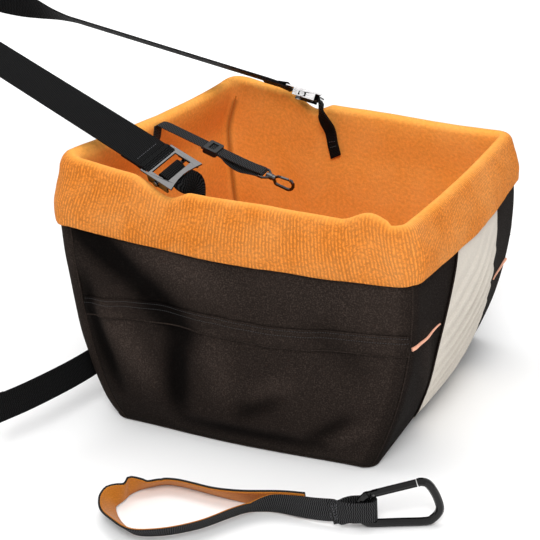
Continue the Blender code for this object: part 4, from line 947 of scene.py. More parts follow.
def cuff_cloth(name, colour, inner, pitch):
    """Orange cloth: tufted ribs where it shows outside, brushed and smoother inside, where its
    lighter colour is partly painted light and it has painted shade at the corner seams.
    """
    found, tree = new_material(name)
    vector = uv(tree)
    ribs = use_group(tree, rib_group(), vector, Pitch=pitch)
    outside = tree.ramp(tree.split(vector)["Y"], -0.004, 0.010)
    nap = tree.noise(vector, 260.0, 3.0, 0.6)
    soft = tree.noise(vector, 14.0, 3.0, 0.6)
    # Inside: the brushed nap's tone over a lighter orange that is partly painted light
    brushed = tree.mix(tree.ramp(nap, 0.25, 0.8), shade(inner, 0.9), shade(inner, 1.15))
    # Painted shade on the inside at its corner seams, darkest at the seam
    brushed = tree.dim(brushed, tree.ramp(painted_shading_attribute(tree), -1.0, 0.0, 0.55, 1.0))
    tufted = tree.mix(ribs["Tuft"], shade(colour, 0.54), shade(colour, 1.10))
    tone = tree.mix(outside, brushed, tufted)
    tone = tree.mix(tree.ramp(soft, 0.3, 0.75), tone, tree.mix(0.14, tone, (1.0, 0.62, 0.25, 1)))
    height = tree.maths("MULTIPLY_ADD", tree.maths("SUBTRACT", ribs["Height"], nap), outside,
                        nap)
    tree.principled({"Base Color": tone,
                     "Normal": tree.bump(height, 0.55, 0.0011),
                     "Roughness": tree.ramp(nap, 0.2, 0.9, 0.78, 0.95),
                     "Sheen Weight": 0.08,
                     "Sheen Roughness": 0.5,
                     "Sheen Tint": (1.0, 0.62, 0.30, 1),
                     "Specular IOR Level": 0.05})
    return found


def woven_cloth(name, colour, pitch, contrast, sheen, paints_fold_light=False):
    """Plain woven cloth with a fine speckle, and where asked with painted light on its folds' ridges
    and painted shade in their valleys.
    """
    found, tree = new_material(name)
    weave = use_group(tree, weave_group(), object_place(tree), Pitch=pitch)
    tone = tree.mix(weave["Speckle"], shade(colour, 1 - 0.35 * contrast),
                    shade(colour, 1 + 0.9 * contrast))
    tone = tree.mix(tree.maths("MULTIPLY", weave["Cloud"], 0.35), tone,
                    tree.mix(0.5, tone, shade(colour, 1.25)))
    # Painted light and shade: lighter on the ridges, darker in the valleys and on the sides painted
    # as shaded
    if paints_fold_light:
        tone = tree.dim(tone, tree.ramp(painted_shading_attribute(tree), -0.0050, 0.0040, 0.10, 1.45))
    tree.principled({"Base Color": tone,
                     "Normal": tree.bump(weave["Height"], 0.30, 0.0004),
                     "Roughness": tree.ramp(weave["Speckle"], 0, 1, 0.86, 0.70),
                     "Sheen Weight": sheen,
                     "Sheen Roughness": 0.45,
                     "Specular IOR Level": 0.03})
    return found


def strap_webbing(name, colour, pitch):
    found, tree = new_material(name)
    web = use_group(tree, webbing_group(), uv(tree), Pitch=pitch)
    # The rib tops are painted much lighter than the grooves: painted highlight and painted shade
    # over the webbing's dark tone
    tree.principled({"Base Color": tree.mix(web["Light"], shade(colour, 0.3), shade(colour, 7.0)),
                     "Normal": tree.bump(web["Height"], 0.8, 0.0008),
                     "Roughness": tree.ramp(web["Light"], 0, 1, 0.75, 0.50),
                     "Specular IOR Level": 0.03})
    return found


def plated_metal(name, colour, metallic, low, high, shine):
    """Metal, enamel or plastic with smudges, between two levels of roughness."""
    found, tree = new_material(name)
    marks = use_group(tree, wear_group(), object_place(tree))
    smudge = marks["Smudge"]
    tree.principled({"Base Color": tree.mix(smudge, shade(colour, 0.92), shade(colour, 1.04)),
                     "Roughness": tree.ramp(smudge, 0, 1, low, high),
                     "Normal": tree.bump(marks["Scratch"], 0.05, 0.0002),
                     "Metallic": metallic,
                     "Specular IOR Level": shine})
    return found


def thread_material(name, colour):
    found, tree = new_material(name)
    twist = tree.noise(object_place(tree), 2500.0, 1.0, 0.5)
    tone = tree.mix(tree.ramp(twist, 0.3, 0.7), shade(colour, 0.7), shade(colour, 1.3))
    tree.principled({"Base Color": tone,
                     "Normal": tree.bump(twist, 0.3, 0.0002),
                     "Roughness": 0.6})
    return found


def board_material(name, dark, light):
    found, tree = new_material(name)
    fibre = tree.noise(object_place(tree), 700.0, 4.0, 0.7)
    tree.principled({"Base Color": tree.mix(fibre, shade(dark, 1), shade(light, 1)),
                     "Normal": tree.bump(fibre, 0.3, 0.0003),
                     "Roughness": 0.9})
    return found


def material(name):
    """The scene's materials, each made when it is first asked for."""
    found = bpy.data.materials.get(name)
    if found:
        return found
    cloth = bpy.context.scene.cloth_settings
    heavy = shade(cloth.webbing, HEAVY_SHADE)[:3]
    maker, *values = {
        "Cuff Cloth": (cuff_cloth, cloth.orange, cloth.inside, cloth.rib_pitch),
        "Pad Cloth": (woven_cloth, cloth.orange, 0.0011, 0.22, 0.25),
        "Black Cloth": (woven_cloth, cloth.black, 0.0009, 1.0, 0.0, True),
        "Panel Cloth": (woven_cloth, cloth.grey, 0.0010, 0.10, 0.05),
        "Piping Cloth": (woven_cloth, cloth.piping, 0.0007, 0.2, 0.1),
        "Lining Cloth": (woven_cloth, (0.47, 0.165, 0.020), 0.0008, 0.35, 0.2),
        "Webbing": (strap_webbing, cloth.webbing, cloth.strap_rib),
        "Heavy Webbing": (strap_webbing, heavy, cloth.strap_rib),
        "Black Thread": (thread_material, (0.012, 0.012, 0.013)),
        "Grey Thread": (thread_material, (0.10, 0.10, 0.11)),
        "Orange Thread": (thread_material, (0.50, 0.16, 0.03)),
        "Plated Steel": (plated_metal, (0.085, 0.083, 0.083), 1.0, 0.07, 0.20, 0.5),
        "Black Enamel": (plated_metal, (0.0018, 0.0018, 0.002), 0.0, 0.09, 0.18, 0.3),
        "Black Plastic": (plated_metal, (0.005, 0.005, 0.0055), 0.0, 0.38, 0.55, 0.3),
        "Pressed Board": (board_material, (0.22, 0.15, 0.10), (0.38, 0.29, 0.20)),
    }[name]
    return maker(name, *values)


# Stage


class SEAT_OT_stage(bpy.types.Operator):
    """Makes the floor, the lamps, the world and the camera"""
    bl_idname = "car_seat.stage"
    bl_label = "Make Stage"

    def execute(self, context):
        settings = context.scene.stage_settings
        context.scene.view_settings.view_transform = "Standard"
        bm = bmesh.new()
        bmesh.ops.create_grid(bm, x_segments=1, y_segments=1, size=6)
        mesh = bpy.data.meshes.new("Floor")
        bm.to_mesh(mesh)
        bm.free()
        floor = bpy.data.objects.new("Floor", mesh)
        context.scene.collection.objects.link(floor)
        floor.location.z = -FLOOR_DROP
        found, tree = new_material("Floor")
        reach = tree.node("ShaderNodeVectorMath", {0: object_place(tree)}, operation="LENGTH")
        far = tree.ramp(reach.outputs["Value"], 0.9, 2.0, 0.0, 0.45)
        tree.principled({"Base Color": (*settings.floor, 1),
                         "Roughness": 0.9,
                         "Emission Color": (1, 1, 1, 1),
                         "Emission Strength": tree.maths("MULTIPLY", seen_ray(tree), far)})
        mesh.materials.append(found)
        self.make_world(context, settings)
        for name, place, size in LAMPS:
            self.add_lamp(context, name, place, size, getattr(settings, name.lower()))
        self.add_camera(context)
        return {"FINISHED"}

    def make_world(self, context, settings):
        world = bpy.data.worlds.new("Studio")
        context.scene.world = world
        world.use_nodes = True
        world.node_tree.nodes.clear()
        tree = Tree(world.node_tree)
        strength = tree.maths("MULTIPLY_ADD", seen_ray(tree), 1.0 - settings.ambient,
                              settings.ambient)
        light = tree.node("ShaderNodeBackground", {"Color": (1, 1, 1, 1), "Strength": strength})
        tree.node("ShaderNodeOutputWorld", {0: light.outputs[0]})

    def add_lamp(self, context, name, place, size, power):
        data = bpy.data.lights.new(name, "AREA")
        data.size = size
        data.energy = power
        lamp = bpy.data.objects.new(name, data)
        lamp.location = place
        aim = Vector(LAMP_TARGET) - Vector(place)
        lamp.rotation_euler = aim.to_track_quat("-Z", "Y").to_euler()
        context.scene.collection.objects.link(lamp)

    def add_camera(self, context):
        data = bpy.data.cameras.new("Camera")
        data.lens = CAMERA_LENS
        data.sensor_width = CAMERA_SENSOR
        camera = bpy.data.objects.new("Camera", data)
        forward = Vector((-math.sin(CAMERA_YAW) * math.cos(CAMERA_PITCH),
                          math.cos(CAMERA_YAW) * math.cos(CAMERA_PITCH), -math.sin(CAMERA_PITCH)))
        level = Vector((math.cos(CAMERA_YAW), math.sin(CAMERA_YAW), 0))
        down = forward.cross(level)
        right = math.cos(CAMERA_ROLL) * level + math.sin(CAMERA_ROLL) * down
        upward = math.sin(CAMERA_ROLL) * level - math.cos(CAMERA_ROLL) * down
        turn = Matrix((right, upward, -forward)).transposed().to_4x4()
        turn.translation = CAMERA_PLACE
        camera.matrix_world = turn
        context.scene.collection.objects.link(camera)
        context.scene.camera = camera


# Shell


def shell_out(place, height):
    """The shell's middle, which leans in a little under the cuff."""
    under = max(height - (rim_height(place) - cuff_drop(place)), 0)
    return SHELL_MIDDLE - min(under * 0.05, SHELL_LEAN)


def shell_top(place):
    return roll_centre(place) - SHELL_UNDER_ROLL


def shell_point(place, share):
    """A point of the shell at a share of its height, with its folds."""
    height = SHELL_FOOT + (shell_top(place) - SHELL_FOOT) * share
    out = shell_out(place, height) + fold_out(place, height)
    out += SHELL_WAVINESS * lumps(wall_point(place, height, out), 0.035, 3.0)
    return wall_point(place, height, out)


def roll_centre(place):
    return rim_height(place) - LINER / 2 - ROLL_RADIUS


def corner_puff(place):
    """How far the roll swells at the two back corners, where the cloth bunches."""
    place %= 8
    near = sum(pulse(place, *bunch) for bunch in NEAR_BUNCHES)
    return CORNER_PUFF * (min(near, 1) + FAR_BUNCH_SHARE * pulse(place, *FAR_BUNCH))


class SEAT_OT_shell(bpy.types.Operator):
    """Makes the black shell of the tub, its base and the welts along its seams"""
    bl_idname = "car_seat.shell"
    bl_label = "Make Shell"

    def execute(self, context):
        step = context.scene.mesh_settings.step
        for side, start, end in WALLS:
            places = places_between(start, end, step)
            rows = round((shell_top(start) - SHELL_FOOT) / step)
            bm = columns_mesh(columns_of(places, rows, shell_point), rows // 2, places)
            thicken(finish_piece(f"{side.title()}_Wall_Cloth", bm, "Black Cloth",
                                 replaces=(f"{side}_wall",)), SHELL)
        self.make_base()
        self.make_welts()
        return {"FINISHED"}

    def make_base(self):
        for name, node, out, height, level, thickness, finish in (
                ("Base_Cloth", "base_cloth", BASE_CLOTH_OUT, SHELL / 2, 0, SHELL * 0.9,
                 "Black Cloth"),
                ("Floor_Cloth", "liner_floor", LINER_MIDDLE, PAD_Z - LAYER_GAP - LINER / 2, PAD_Z,
                 LINER * 0.9, "Pad Cloth")):
            outline = [wall_point(place, level, out)
                       for place in places_between(0, 8, 0.006)[:-1]]
            bm = bmesh.new()
            ring = bmesh.ops.create_circle(bm, segments=len(outline), radius=1, cap_ends=True)
            for vert, point in zip(ring["verts"], outline):
                vert.co = (point.x, point.y, height)
            faces = bm.faces[:]
            for inset in BASE_INSETS:
                bmesh.ops.inset_region(bm, faces=faces, thickness=inset, use_even_offset=True)
            bmesh.ops.recalc_face_normals(bm, faces=bm.faces)
            thicken(finish_piece(name, bm, finish, replaces=(node,)), thickness)

    def make_welts(self):
        """A thin welt over each corner seam and round the foot of the shell."""
        bm = bmesh.new()
        for place in WALL_SEAMS:
            deep = plain_rim(place) - cuff_drop(place) + CORNER_WELT_TUCK - CORNER_WELT_FOOT
            rises = [CORNER_WELT_FOOT + deep * step / 49 for step in range(50)]
            tube_mesh(bm, [wall_point(place, height, fold_out(place, height) + CORNER_WELT_OUT)
                           for height in rises], WELTS["corner"], 6)
        height = FOOT_WELT_HEIGHT
        foot = [wall_point(place, height, FOOT_WELT_OUT + fold_out(place, height))
                for place in places_between(0, 8, 0.004)[:-1]]
        tube_mesh(bm, foot, WELTS["foot"], 8, closed=True)
        finish_piece("Wall_Welts", bm, "Black Cloth")


# Liner and cuff


def liner_rows():
    """The liner's profile: a kind and a share along it for each row."""
    rows = [(kind, row / count) for kind, count in LINER_ROWS.items() for row in range(count)]
    return rows + [("tuck", 1.0)]


def liner_point(place, kind, share):
    """A point of the liner or the cuff."""
    centre = roll_centre(place)
    low = plain_rim(place) - cuff_drop(place)
    if kind == "inside":
        height = PAD_Z - LINER_TUCK + (centre - PAD_Z) * share
        sample = wall_point(place, height, LINER_MIDDLE)
        sample.z *= 0.45
        calm = smooth(share * 4) * smooth((1 - share) * 3)
        bunch = corner_near(place, 0.022) - corner_near(place, 0.005)
        folds = LINER_FOLDS * max(lumps(sample, 0.055, 5.0) + 0.2, -0.1) + LINER_BUNCH * bunch
        return wall_point(place, height, LINER_MIDDLE - calm * folds)
    puff = corner_puff(place)
    if kind == "roll":
        angle = math.pi * share
        swell = 1 + ROLL_LUMPS * lumps(wall_point(place, centre, 0), 0.03, 9.0)
        swell += ROLL_PUFF_SHARE * puff / ROLL_RADIUS
        out = ROLL_MIDDLE - ROLL_RADIUS * math.cos(angle) + puff * share
        return wall_point(place, centre + ROLL_RADIUS * swell * math.sin(angle), out)
    line = share if kind == "cuff" else 1.0
    out = CUFF_MIDDLE + (CUFF_LOW_MIDDLE - CUFF_MIDDLE) * line
    out += CUFF_PUFF * math.sin(math.pi * line) + puff * (1 - line) ** 1.5
    height = centre + (low - centre) * line
    sample = wall_point(place, height, out)
    calm = smooth(line * 4)
    out += calm * (CUFF_LUMPS * lumps(sample, 0.045, 1.0) - SEAM_DENT * corner_near(place, 0.003)
                   + CUFF_RIPPLES * lumps(sample, 0.012, 2.0))
    height += CUFF_WAVE * line * lumps(sample, 0.05, 4.0)
    if kind == "hem":
        angle = math.pi * share
        return wall_point(place, height - HEM_TURN * math.sin(angle),
                          out - HEM_TURN * (1 - math.cos(angle)))
    if kind == "tuck":
        return wall_point(place, height + HEM_TUCK * share, out - 2 * HEM_TURN)
    return wall_point(place, height, out)


class SEAT_OT_liner(bpy.types.Operator):
    """Makes the orange liner that turns over the rim as a deep cuff"""
    bl_idname = "car_seat.liner"
    bl_label = "Make Liner"

    def execute(self, context):
        steps = places_between(0.5, 8.5, context.scene.mesh_settings.step)
        rows = liner_rows()
        columns = [[liner_point(place, kind, share) for kind, share in rows] for place in steps]
        crest = LINER_ROWS["inside"] + LINER_ROWS["roll"] // 2
        across = arc_lengths([column[crest + CUFF_MEASURE] for column in columns])
        down = []
        for column in columns:
            lengths = arc_lengths(column)
            down.append([length - lengths[crest] for length in lengths])
        # The inside gets painted shade near each corner seam, which the cuff cloth reads
        bm = grid_mesh(len(steps) - 1, len(rows) - 1, lambda c, r: columns[c][r],
                       lambda c, r: (across[c], down[c][r]),
                       lambda c, r: -corner_near(steps[c], SEAM_SHADE)
                       if r < crest - INSIDE_MEASURE else 0.0)
        bmesh.ops.remove_doubles(bm, verts=bm.verts, dist=MERGE)
        nodes = ("near_liner", "front_liner", "far_liner", "back_liner")
        thicken(finish_piece("Liner_And_Cuff", bm, "Cuff Cloth", replaces=nodes), LINER)
        bm = bmesh.new()
        for place in LINER_SEAMS:
            deep = roll_centre(place) - PAD_Z
            rises = [SEAM_END + (deep - 2 * SEAM_END) * step / 40 for step in range(41)]
            points = [liner_point(place, "inside", rise / deep) for rise in rises]
            points = [point - Vector((*point.xy, 0)).normalized() * LINER * 0.55
                      for point in points]
            tube_mesh(bm, points, WELTS["liner"], 6)
        finish_piece("Liner_Seams", bm, "Lining Cloth")
        return {"FINISHED"}


# Floor pad


class SEAT_OT_pad(bpy.types.Operator):
    """Makes the loose cushion on the floor, blown up a little as its filling does"""
    bl_idname = "car_seat.pad"
    bl_label = "Make Floor Pad"

    def execute(self, context):
        low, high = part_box("floor_pad")
        outline = [plan_point(PAD_SHARE, place, LINER_FACE - PAD_INSET)
                   for place in places_between(0, 8, 0.008)[:-1]]
        centre = ((low + high) / 2).xy
        bm = bmesh.new()
        rings = [self.ring(bm, outline, centre, share, low.z + height)
                 for height, share in PAD_RINGS]
        for lower, upper in zip(rings, rings[1:]):
            join_rings(bm, lower, upper)
        self.close(bm, rings[0], centre, 0.0)
        self.close(bm, rings[-1], centre, PAD_CROWN)
        bmesh.ops.recalc_face_normals(bm, faces=bm.faces)
        piece = finish_piece("Floor_Cushion", bm, "Pad Cloth", "floor_pad",
                             replaces=("floor_pad",))
        self.inflate(context, piece, low.z)
        self.make_cord(outline, low.z + PAD_CORD)
        return {"FINISHED"}

    def ring(self, bm, outline, centre, share, height):
        """A ring at a share of the way from the cushion's middle to its outline."""
        ring = bmesh.ops.create_circle(bm, segments=len(outline), radius=1)["verts"]
        for vert, point in zip(ring, outline):
            vert.co = (*centre.lerp(point, share), height)
        return ring

    def close(self, bm, ring, centre, rise):
        """Closes a face of the cushion with rings that shrink to its middle."""
        outline = [vert.co.xy for vert in ring]
        height = ring[0].co.z
        before = ring
        for share in PAD_SHARES:
            inner = self.ring(bm, outline, centre, share,
                              height + rise * math.cos(math.pi / 2 * share))
            join_rings(bm, before, inner)
            before = inner
        bm.faces.new(before)

    def inflate(self, context, piece, foot):
        """Blows the cushion up with a cloth simulation, and caps how far its points move."""
        self.remesh(context, piece)
        rest = [vert.co.copy() for vert in piece.data.vertices]
        cloth = piece.modifiers.new("Cloth", "CLOTH")
        cloth.settings.use_pressure = True
        cloth.settings.uniform_pressure_force = PAD_PRESSURE
        cloth.settings.effector_weights.gravity = 0
        cloth.settings.tension_stiffness = PAD_STIFFNESS
        for number in range(1, PAD_FRAMES + 1):
            context.scene.frame_set(number)
        depsgraph = context.evaluated_depsgraph_get()
        blown = [vert.co.copy() for vert in piece.evaluated_get(depsgraph).data.vertices]
        piece.modifiers.remove(cloth)
        context.scene.frame_set(1)
        for vert, before, after in zip(piece.data.vertices, rest, blown):
            move = after - before
            if move.length > PAD_MOVE:
                move *= PAD_MOVE / move.length
            vert.co = (before.x + move.x * PAD_SIDEWAYS, before.y + move.y * PAD_SIDEWAYS,
                       max(before.z + move.z, foot + PAD_LIFT))
        piece.data.shade_smooth()

    def remesh(self, context, piece):
        """Gives the cushion small even faces."""
        finer = piece.modifiers.new("Remesh", "REMESH")
        finer.mode = "VOXEL"
        finer.voxel_size = PAD_VOXEL
        depsgraph = context.evaluated_depsgraph_get()
        mesh = bpy.data.meshes.new_from_object(piece.evaluated_get(depsgraph))
        piece.modifiers.remove(finer)
        old = piece.data
        piece.data = mesh
        bpy.data.meshes.remove(old)

    def make_cord(self, outline, height):
        """The welt sewn round the cushion's edge."""
        bm = bmesh.new()
        points = [Vector((point.x, point.y, height)) for point in outline]
        tube_mesh(bm, points, WELTS["cushion"], 8, closed=True)
        finish_piece("Cushion_Welt", bm, "Pad Cloth", "floor_pad")


# Pockets and front panel


def flap_line(side, place):
    part = place - side_place(side, 0)
    part = part if side == NEAR else 1 - part
    part = min(max(part, 0), 1) * (len(FLAP_WAVE_SHARES) - 1)
    low = min(int(part), len(FLAP_WAVE_SHARES) - 2)
    ends = FLAP_WAVE_SHARES[low], FLAP_WAVE_SHARES[low + 1]
    return FLAP_WAVE / 2 * (ends[0] + (ends[1] - ends[0]) * smooth(part - low))


class SEAT_OT_pockets(bpy.types.Operator):
    """Makes the pocket on each long side, with the flap over its mouth and its stitching"""
    bl_idname = "car_seat.pockets"
    bl_label = "Make Pockets"

    def execute(self, context):
        inset = 0.005 / wall_length(NEAR)
        self.make_pocket("near", NEAR, side_place(NEAR, inset), side_place(NEAR, 1) + 0.4)
        self.make_pocket("far", FAR, side_place(FAR, 0) - 0.4, side_place(FAR, 1) - inset)
        return {"FINISHED"}

    def make_pocket(self, prefix, side, start, end):
        places = places_between(start, end, bpy.context.scene.mesh_settings.step)

        def swell(place):
            return POCKET_BELLY * math.sin(math.pi * (place - start) / (end - start))

        def top(place):
            return FLAP_TOP + flap_line(side, place)

        def ripple(place, height, out):
            return FLAP_RIPPLES * (lumps(wall_point(place, height, out), 0.022, 8.0) + 0.3)

        def pocket_point(place, share):
            mouth = top(place) - FLAP_LAP - LAYER_GAP - PATCH
            height = POCKET_FOOT + (mouth - POCKET_FOOT) * share
            bow = math.sin(math.pi * share)
            out = PATCH_MIDDLE + swell(place) * bow + fold_out(place, height)
            out -= POCKET_PINCH * smooth(1 - height / POCKET_PINCH_HEIGHT)
            out += POCKET_LUMPS * lumps(wall_point(place, height, out), 0.03, 6.0) * bow
            return wall_point(place, height, out)

        def flap_point(place, share):
            height = top(place) - FLAP_DROP * share
            out = PATCH_MIDDLE + self.flap_lift(share, swell(place)) + fold_out(place, height)
            return wall_point(place, height, out + share * ripple(place, height, out))

        def stitch_point(place, depth):
            out = PATCH_MIDDLE + self.flap_lift(depth / FLAP_DROP, swell(place)) + PATCH / 2
            height = top(place) - depth
            return wall_point(place, height, out + fold_out(place, height))

        def hem_point(place):
            out = PATCH_MIDDLE + self.flap_lift(1, swell(place)) + PATCH * 0.3
            height = top(place) - FLAP_DROP
            wave = ripple(place, height, out)
            return wall_point(place, height, out + fold_out(place, height) + wave)

        for part, rows, point in (("Pocket", POCKET_ROWS, pocket_point),
                                  ("Pocket_Flap", FLAP_ROWS, flap_point)):
            bm = columns_mesh(columns_of(places, rows, point), 0, places)
            thicken(finish_piece(f"{prefix.title()}_{part}", bm, "Black Cloth",
                                 replaces=(f"{prefix}_{part.lower()}",)), PATCH * 0.8)
        bm = bmesh.new()
        for depth in FLAP_STITCHES:
            add_stitch_row(bm, [stitch_point(place, depth) for place in places],
                           [self.outward(side)] * len(places))
        finish_piece(f"{prefix.title()}_Pocket_Stitches", bm, "Black Thread")
        bm = bmesh.new()
        tube_mesh(bm, [hem_point(place) for place in places], WELTS["hem"], 6)
        finish_piece(f"{prefix.title()}_Pocket_Hem", bm, "Black Cloth")

    def flap_lift(self, share, swell):
        """How far the flap has come off the wall, from its sewn top to its loose hem."""
        loose = smooth((share - FLAP_SEWN_SHARE) / FLAP_OPEN_SHARE)
        return loose * (PATCH + LAYER_GAP + swell * 0.5)

    def outward(self, side):
        normal = side_normal(plan_corners(0.5), side)
        return Vector((normal.x, normal.y, 0))


class SEAT_OT_panel(bpy.types.Operator):
    """Makes the pale panel of the front wall with its slanted pleats, and the two pipings"""
    bl_idname = "car_seat.panel"
    bl_label = "Make Front Panel"

    def execute(self, context):
        overs = [step / PANEL_COLUMNS for step in range(PANEL_COLUMNS + 1)]
        columns = columns_of(overs, PANEL_ROWS, self.panel_point)
        piece = finish_piece("Pale_Panel", columns_mesh(columns, PANEL_MEASURE), "Panel Cloth",
                             replaces=("front_panel",))
        thicken(piece, PATCH * 0.7)
        bm = bmesh.new()
        for column in (columns[0], columns[-1]):
            tube_mesh(bm, column[2:-6:2], WELTS["panel"], 6)
        finish_piece("Panel_Welts", bm, "Black Cloth")
        self.make_piping("near", NEAR_PIPING_HEIGHT, 2.60, side_place(FRONT, 0.175), 1)
        self.make_piping("far", FAR_PIPING_HEIGHT, side_place(FRONT, 0.806), 4.10, -1)
        return {"FINISHED"}

    def panel_point(self, over, share):
        """A point of the panel at a share over from its near edge and a share up it."""
        near = side_place(FRONT, PANEL_NEAR_SHARE)
        far = side_place(FRONT, PANEL_FAR_SHARE)
        bow = math.sin(math.pi * share)
        edge_near = near - NEAR_SLANT_SHARE * (1 - share) - NEAR_BOW_SHARE * bow
        edge_far = far - FAR_SLANT_SHARE * share - FAR_BOW_SHARE * bow
        place = edge_near + (edge_far - edge_near) * over
        top = plain_rim(place) - FRONT_CUFF_DROP + PANEL_TUCK
        height = PANEL_FOOT + (top - PANEL_FOOT) * share
        across = (place - near) * wall_length(FRONT)
        sample = Vector((across, height, 0))
        slant = (height * PLEAT_SLOPE - across) / PLEAT_PITCH
        slant += PLEAT_WANDER * lumps(sample, 0.09, 7.0)
        rise = slant - math.floor(slant)
        fold = smooth(min(rise / PLEAT_RISE_SHARE, (1 - rise) / (1 - PLEAT_RISE_SHARE)))
        side = math.sin(math.pi * over) ** 0.3
        calm = side * smooth(share * 8) * smooth((1 - share) * 2.2)
        out = PATCH_MIDDLE + PLEAT_DEPTH * calm * fold + fold_out(place, height)
        out += PANEL_RIPPLES * side * (lumps(sample, 0.02, 2.0) + 0.6)
        return wall_point(place, height, out)

    def make_piping(self, prefix, height, start, end, taper):
        """A short soft piping that is thin at one of its ends."""
        points = []
        sizes = []
        steps = places_between(start, end, 0.003)
        for index, place in enumerate(steps):
            share = index / (len(steps) - 1)
            points.append(wall_point(place, height + PIPING_WAVE * math.sin(share * 9),
                                     PIPING_OUT + fold_out(place, height)))
            sizes.append(PIPING_THIN + PIPING_SWELL * (1 - share if taper > 0 else share))
        bm = bmesh.new()
        tube_mesh(bm, points, sizes, 8)
        finish_piece(f"{prefix.title()}_Piping", bm, "Piping Cloth",
                     replaces=(f"{prefix}_piping",))


# Straps


def strap_rails(node, thickness):
    """The two edges of a packed strap, as lists of points from one end to the other."""
    bm = bmesh.new()
    bm.from_mesh(NODES[node].data)
    bmesh.ops.remove_doubles(bm, verts=bm.verts, dist=MERGE)
    pair_of = {}
    middles = []
    for edge in sorted(bm.edges, key=lambda e: abs(e.calc_length() - thickness)):
        if abs(edge.calc_length() - thickness) > MERGE * 4:
            break
        a, b = edge.verts
        if a in pair_of or b in pair_of:
            continue
        pair_of[a] = pair_of[b] = len(middles)
        middles.append((a.co + b.co) / 2)
    for vert in bm.verts:
        if vert not in pair_of:
            pair_of[vert] = len(middles)
            middles.append(None)
    links = {k: set() for k in range(len(middles))}
    for face in bm.faces:
        pairs = [pair_of[vert] for vert in face.verts]
        for k in set(pairs):
            if pairs.count(k) == 2:
                for other in set(pairs) - {k}:
                    links[k].add(other)
                    links[other].add(k)
    bm.free()
    loop = [0]
    while following := sorted(links[loop[-1]] - set(loop)):
        loop.append(following[0])
    ring = [middles[k] for k in loop if middles[k]]
    half = len(ring) // 2
    best = None
    for cut in range(half):
        turned = ring[cut:] + ring[:cut]
        left = turned[:half]
        right = turned[half:][::-1]
        width = (left[0] - right[0]).length
        spread = sum(abs((a - b).length - width) for a, b in zip(left, right))
        if best is None or spread < best[0]:
            best = (spread, left, right)
    return best[1], best[2]


def fine_rails(node):
    """The two edges of a strap, smoothed and with even steps."""
    step = bpy.context.scene.mesh_settings.strap_step
    left, right = strap_rails(node, STRAPS[node])
    middle = [(a + b) / 2 for a, b in zip(left, right)]
    counts = [max(round((b - a).length / step), 1) for a, b in zip(middle, middle[1:])]
    if "anchor" in node:
        for point in left + right:
            point.x -= ANCHOR_PULL * max(point.x - ANCHOR_BEND_X, 0)
    return curve_through(left, counts), curve_through(right, counts)


def strap_lengths(left, right):
    """Distances along the middle of a strap."""
    return arc_lengths([(a + b) / 2 for a, b in zip(left, right)])


def strap_piece(name, node, finish):
    """A strap of webbing in place of a packed one."""
    columns = bpy.context.scene.mesh_settings.strap_columns
    left, right = fine_rails(node)
    lengths = strap_lengths(left, right)
    width = (left[0] - right[0]).length
    bm = grid_mesh(len(left) - 1, columns,
                   lambda c, r: left[c].lerp(right[c], r / columns),
                   lambda c, r: (lengths[c], (r / columns - 0.5) * width))
    piece = finish_piece(name, bm, finish, replaces=(node,))
    thicken(piece, STRAPS[node], STRAPS[node] * STRAP_EDGE_SHARE)
    return left, right


def rows_at(rails, distances):
    """The steps along a strap that lie nearest to the distances."""
    lengths = strap_lengths(*rails)
    return [min(range(len(lengths)), key=lambda k, d=distance: abs(lengths[k] - d))
            for distance in distances]


def cross_stitches(bm, rails, node, rows):
    """Rows of stitches straight across a strap, on both of its faces."""
    left, right = rails
    half = STRAPS[node] / 2
    for at in rows:
        a = left[at].lerp(right[at], STITCH_INSET)
        b = left[at].lerp(right[at], 1 - STITCH_INSET)
        following = min(at + 1, len(left) - 1)
        along = left[following] + right[following] - left[at - 1] - right[at - 1]
        lift = along.normalized().cross(b - a).normalized()
        for rise in (lift, -lift):
            add_stitch_row(bm, [a + rise * half, b + rise * half], [rise, rise])


def edge_stitches(bm, rails, node, share):
    """A row of stitches along a strap, on the side that faces the middle of its loop."""
    half = STRAPS[node] / 2
    line = [a.lerp(b, share) for a, b in zip(*rails)]
    normals = []
    for k, (a, b) in enumerate(zip(*rails)):
        along = line[min(k + 1, len(line) - 1)] - line[max(k - 1, 0)]
        normals.append(along.cross(b - a).normalized())
    middle = sum(line, Vector()) / len(line)
    at = len(line) // 2
    if (middle - line[at]).dot(normals[at]) <= 0:
        normals = [-normal for normal in normals]
    add_stitch_row(bm, [point + normal * half for point, normal in zip(line, normals)], normals)


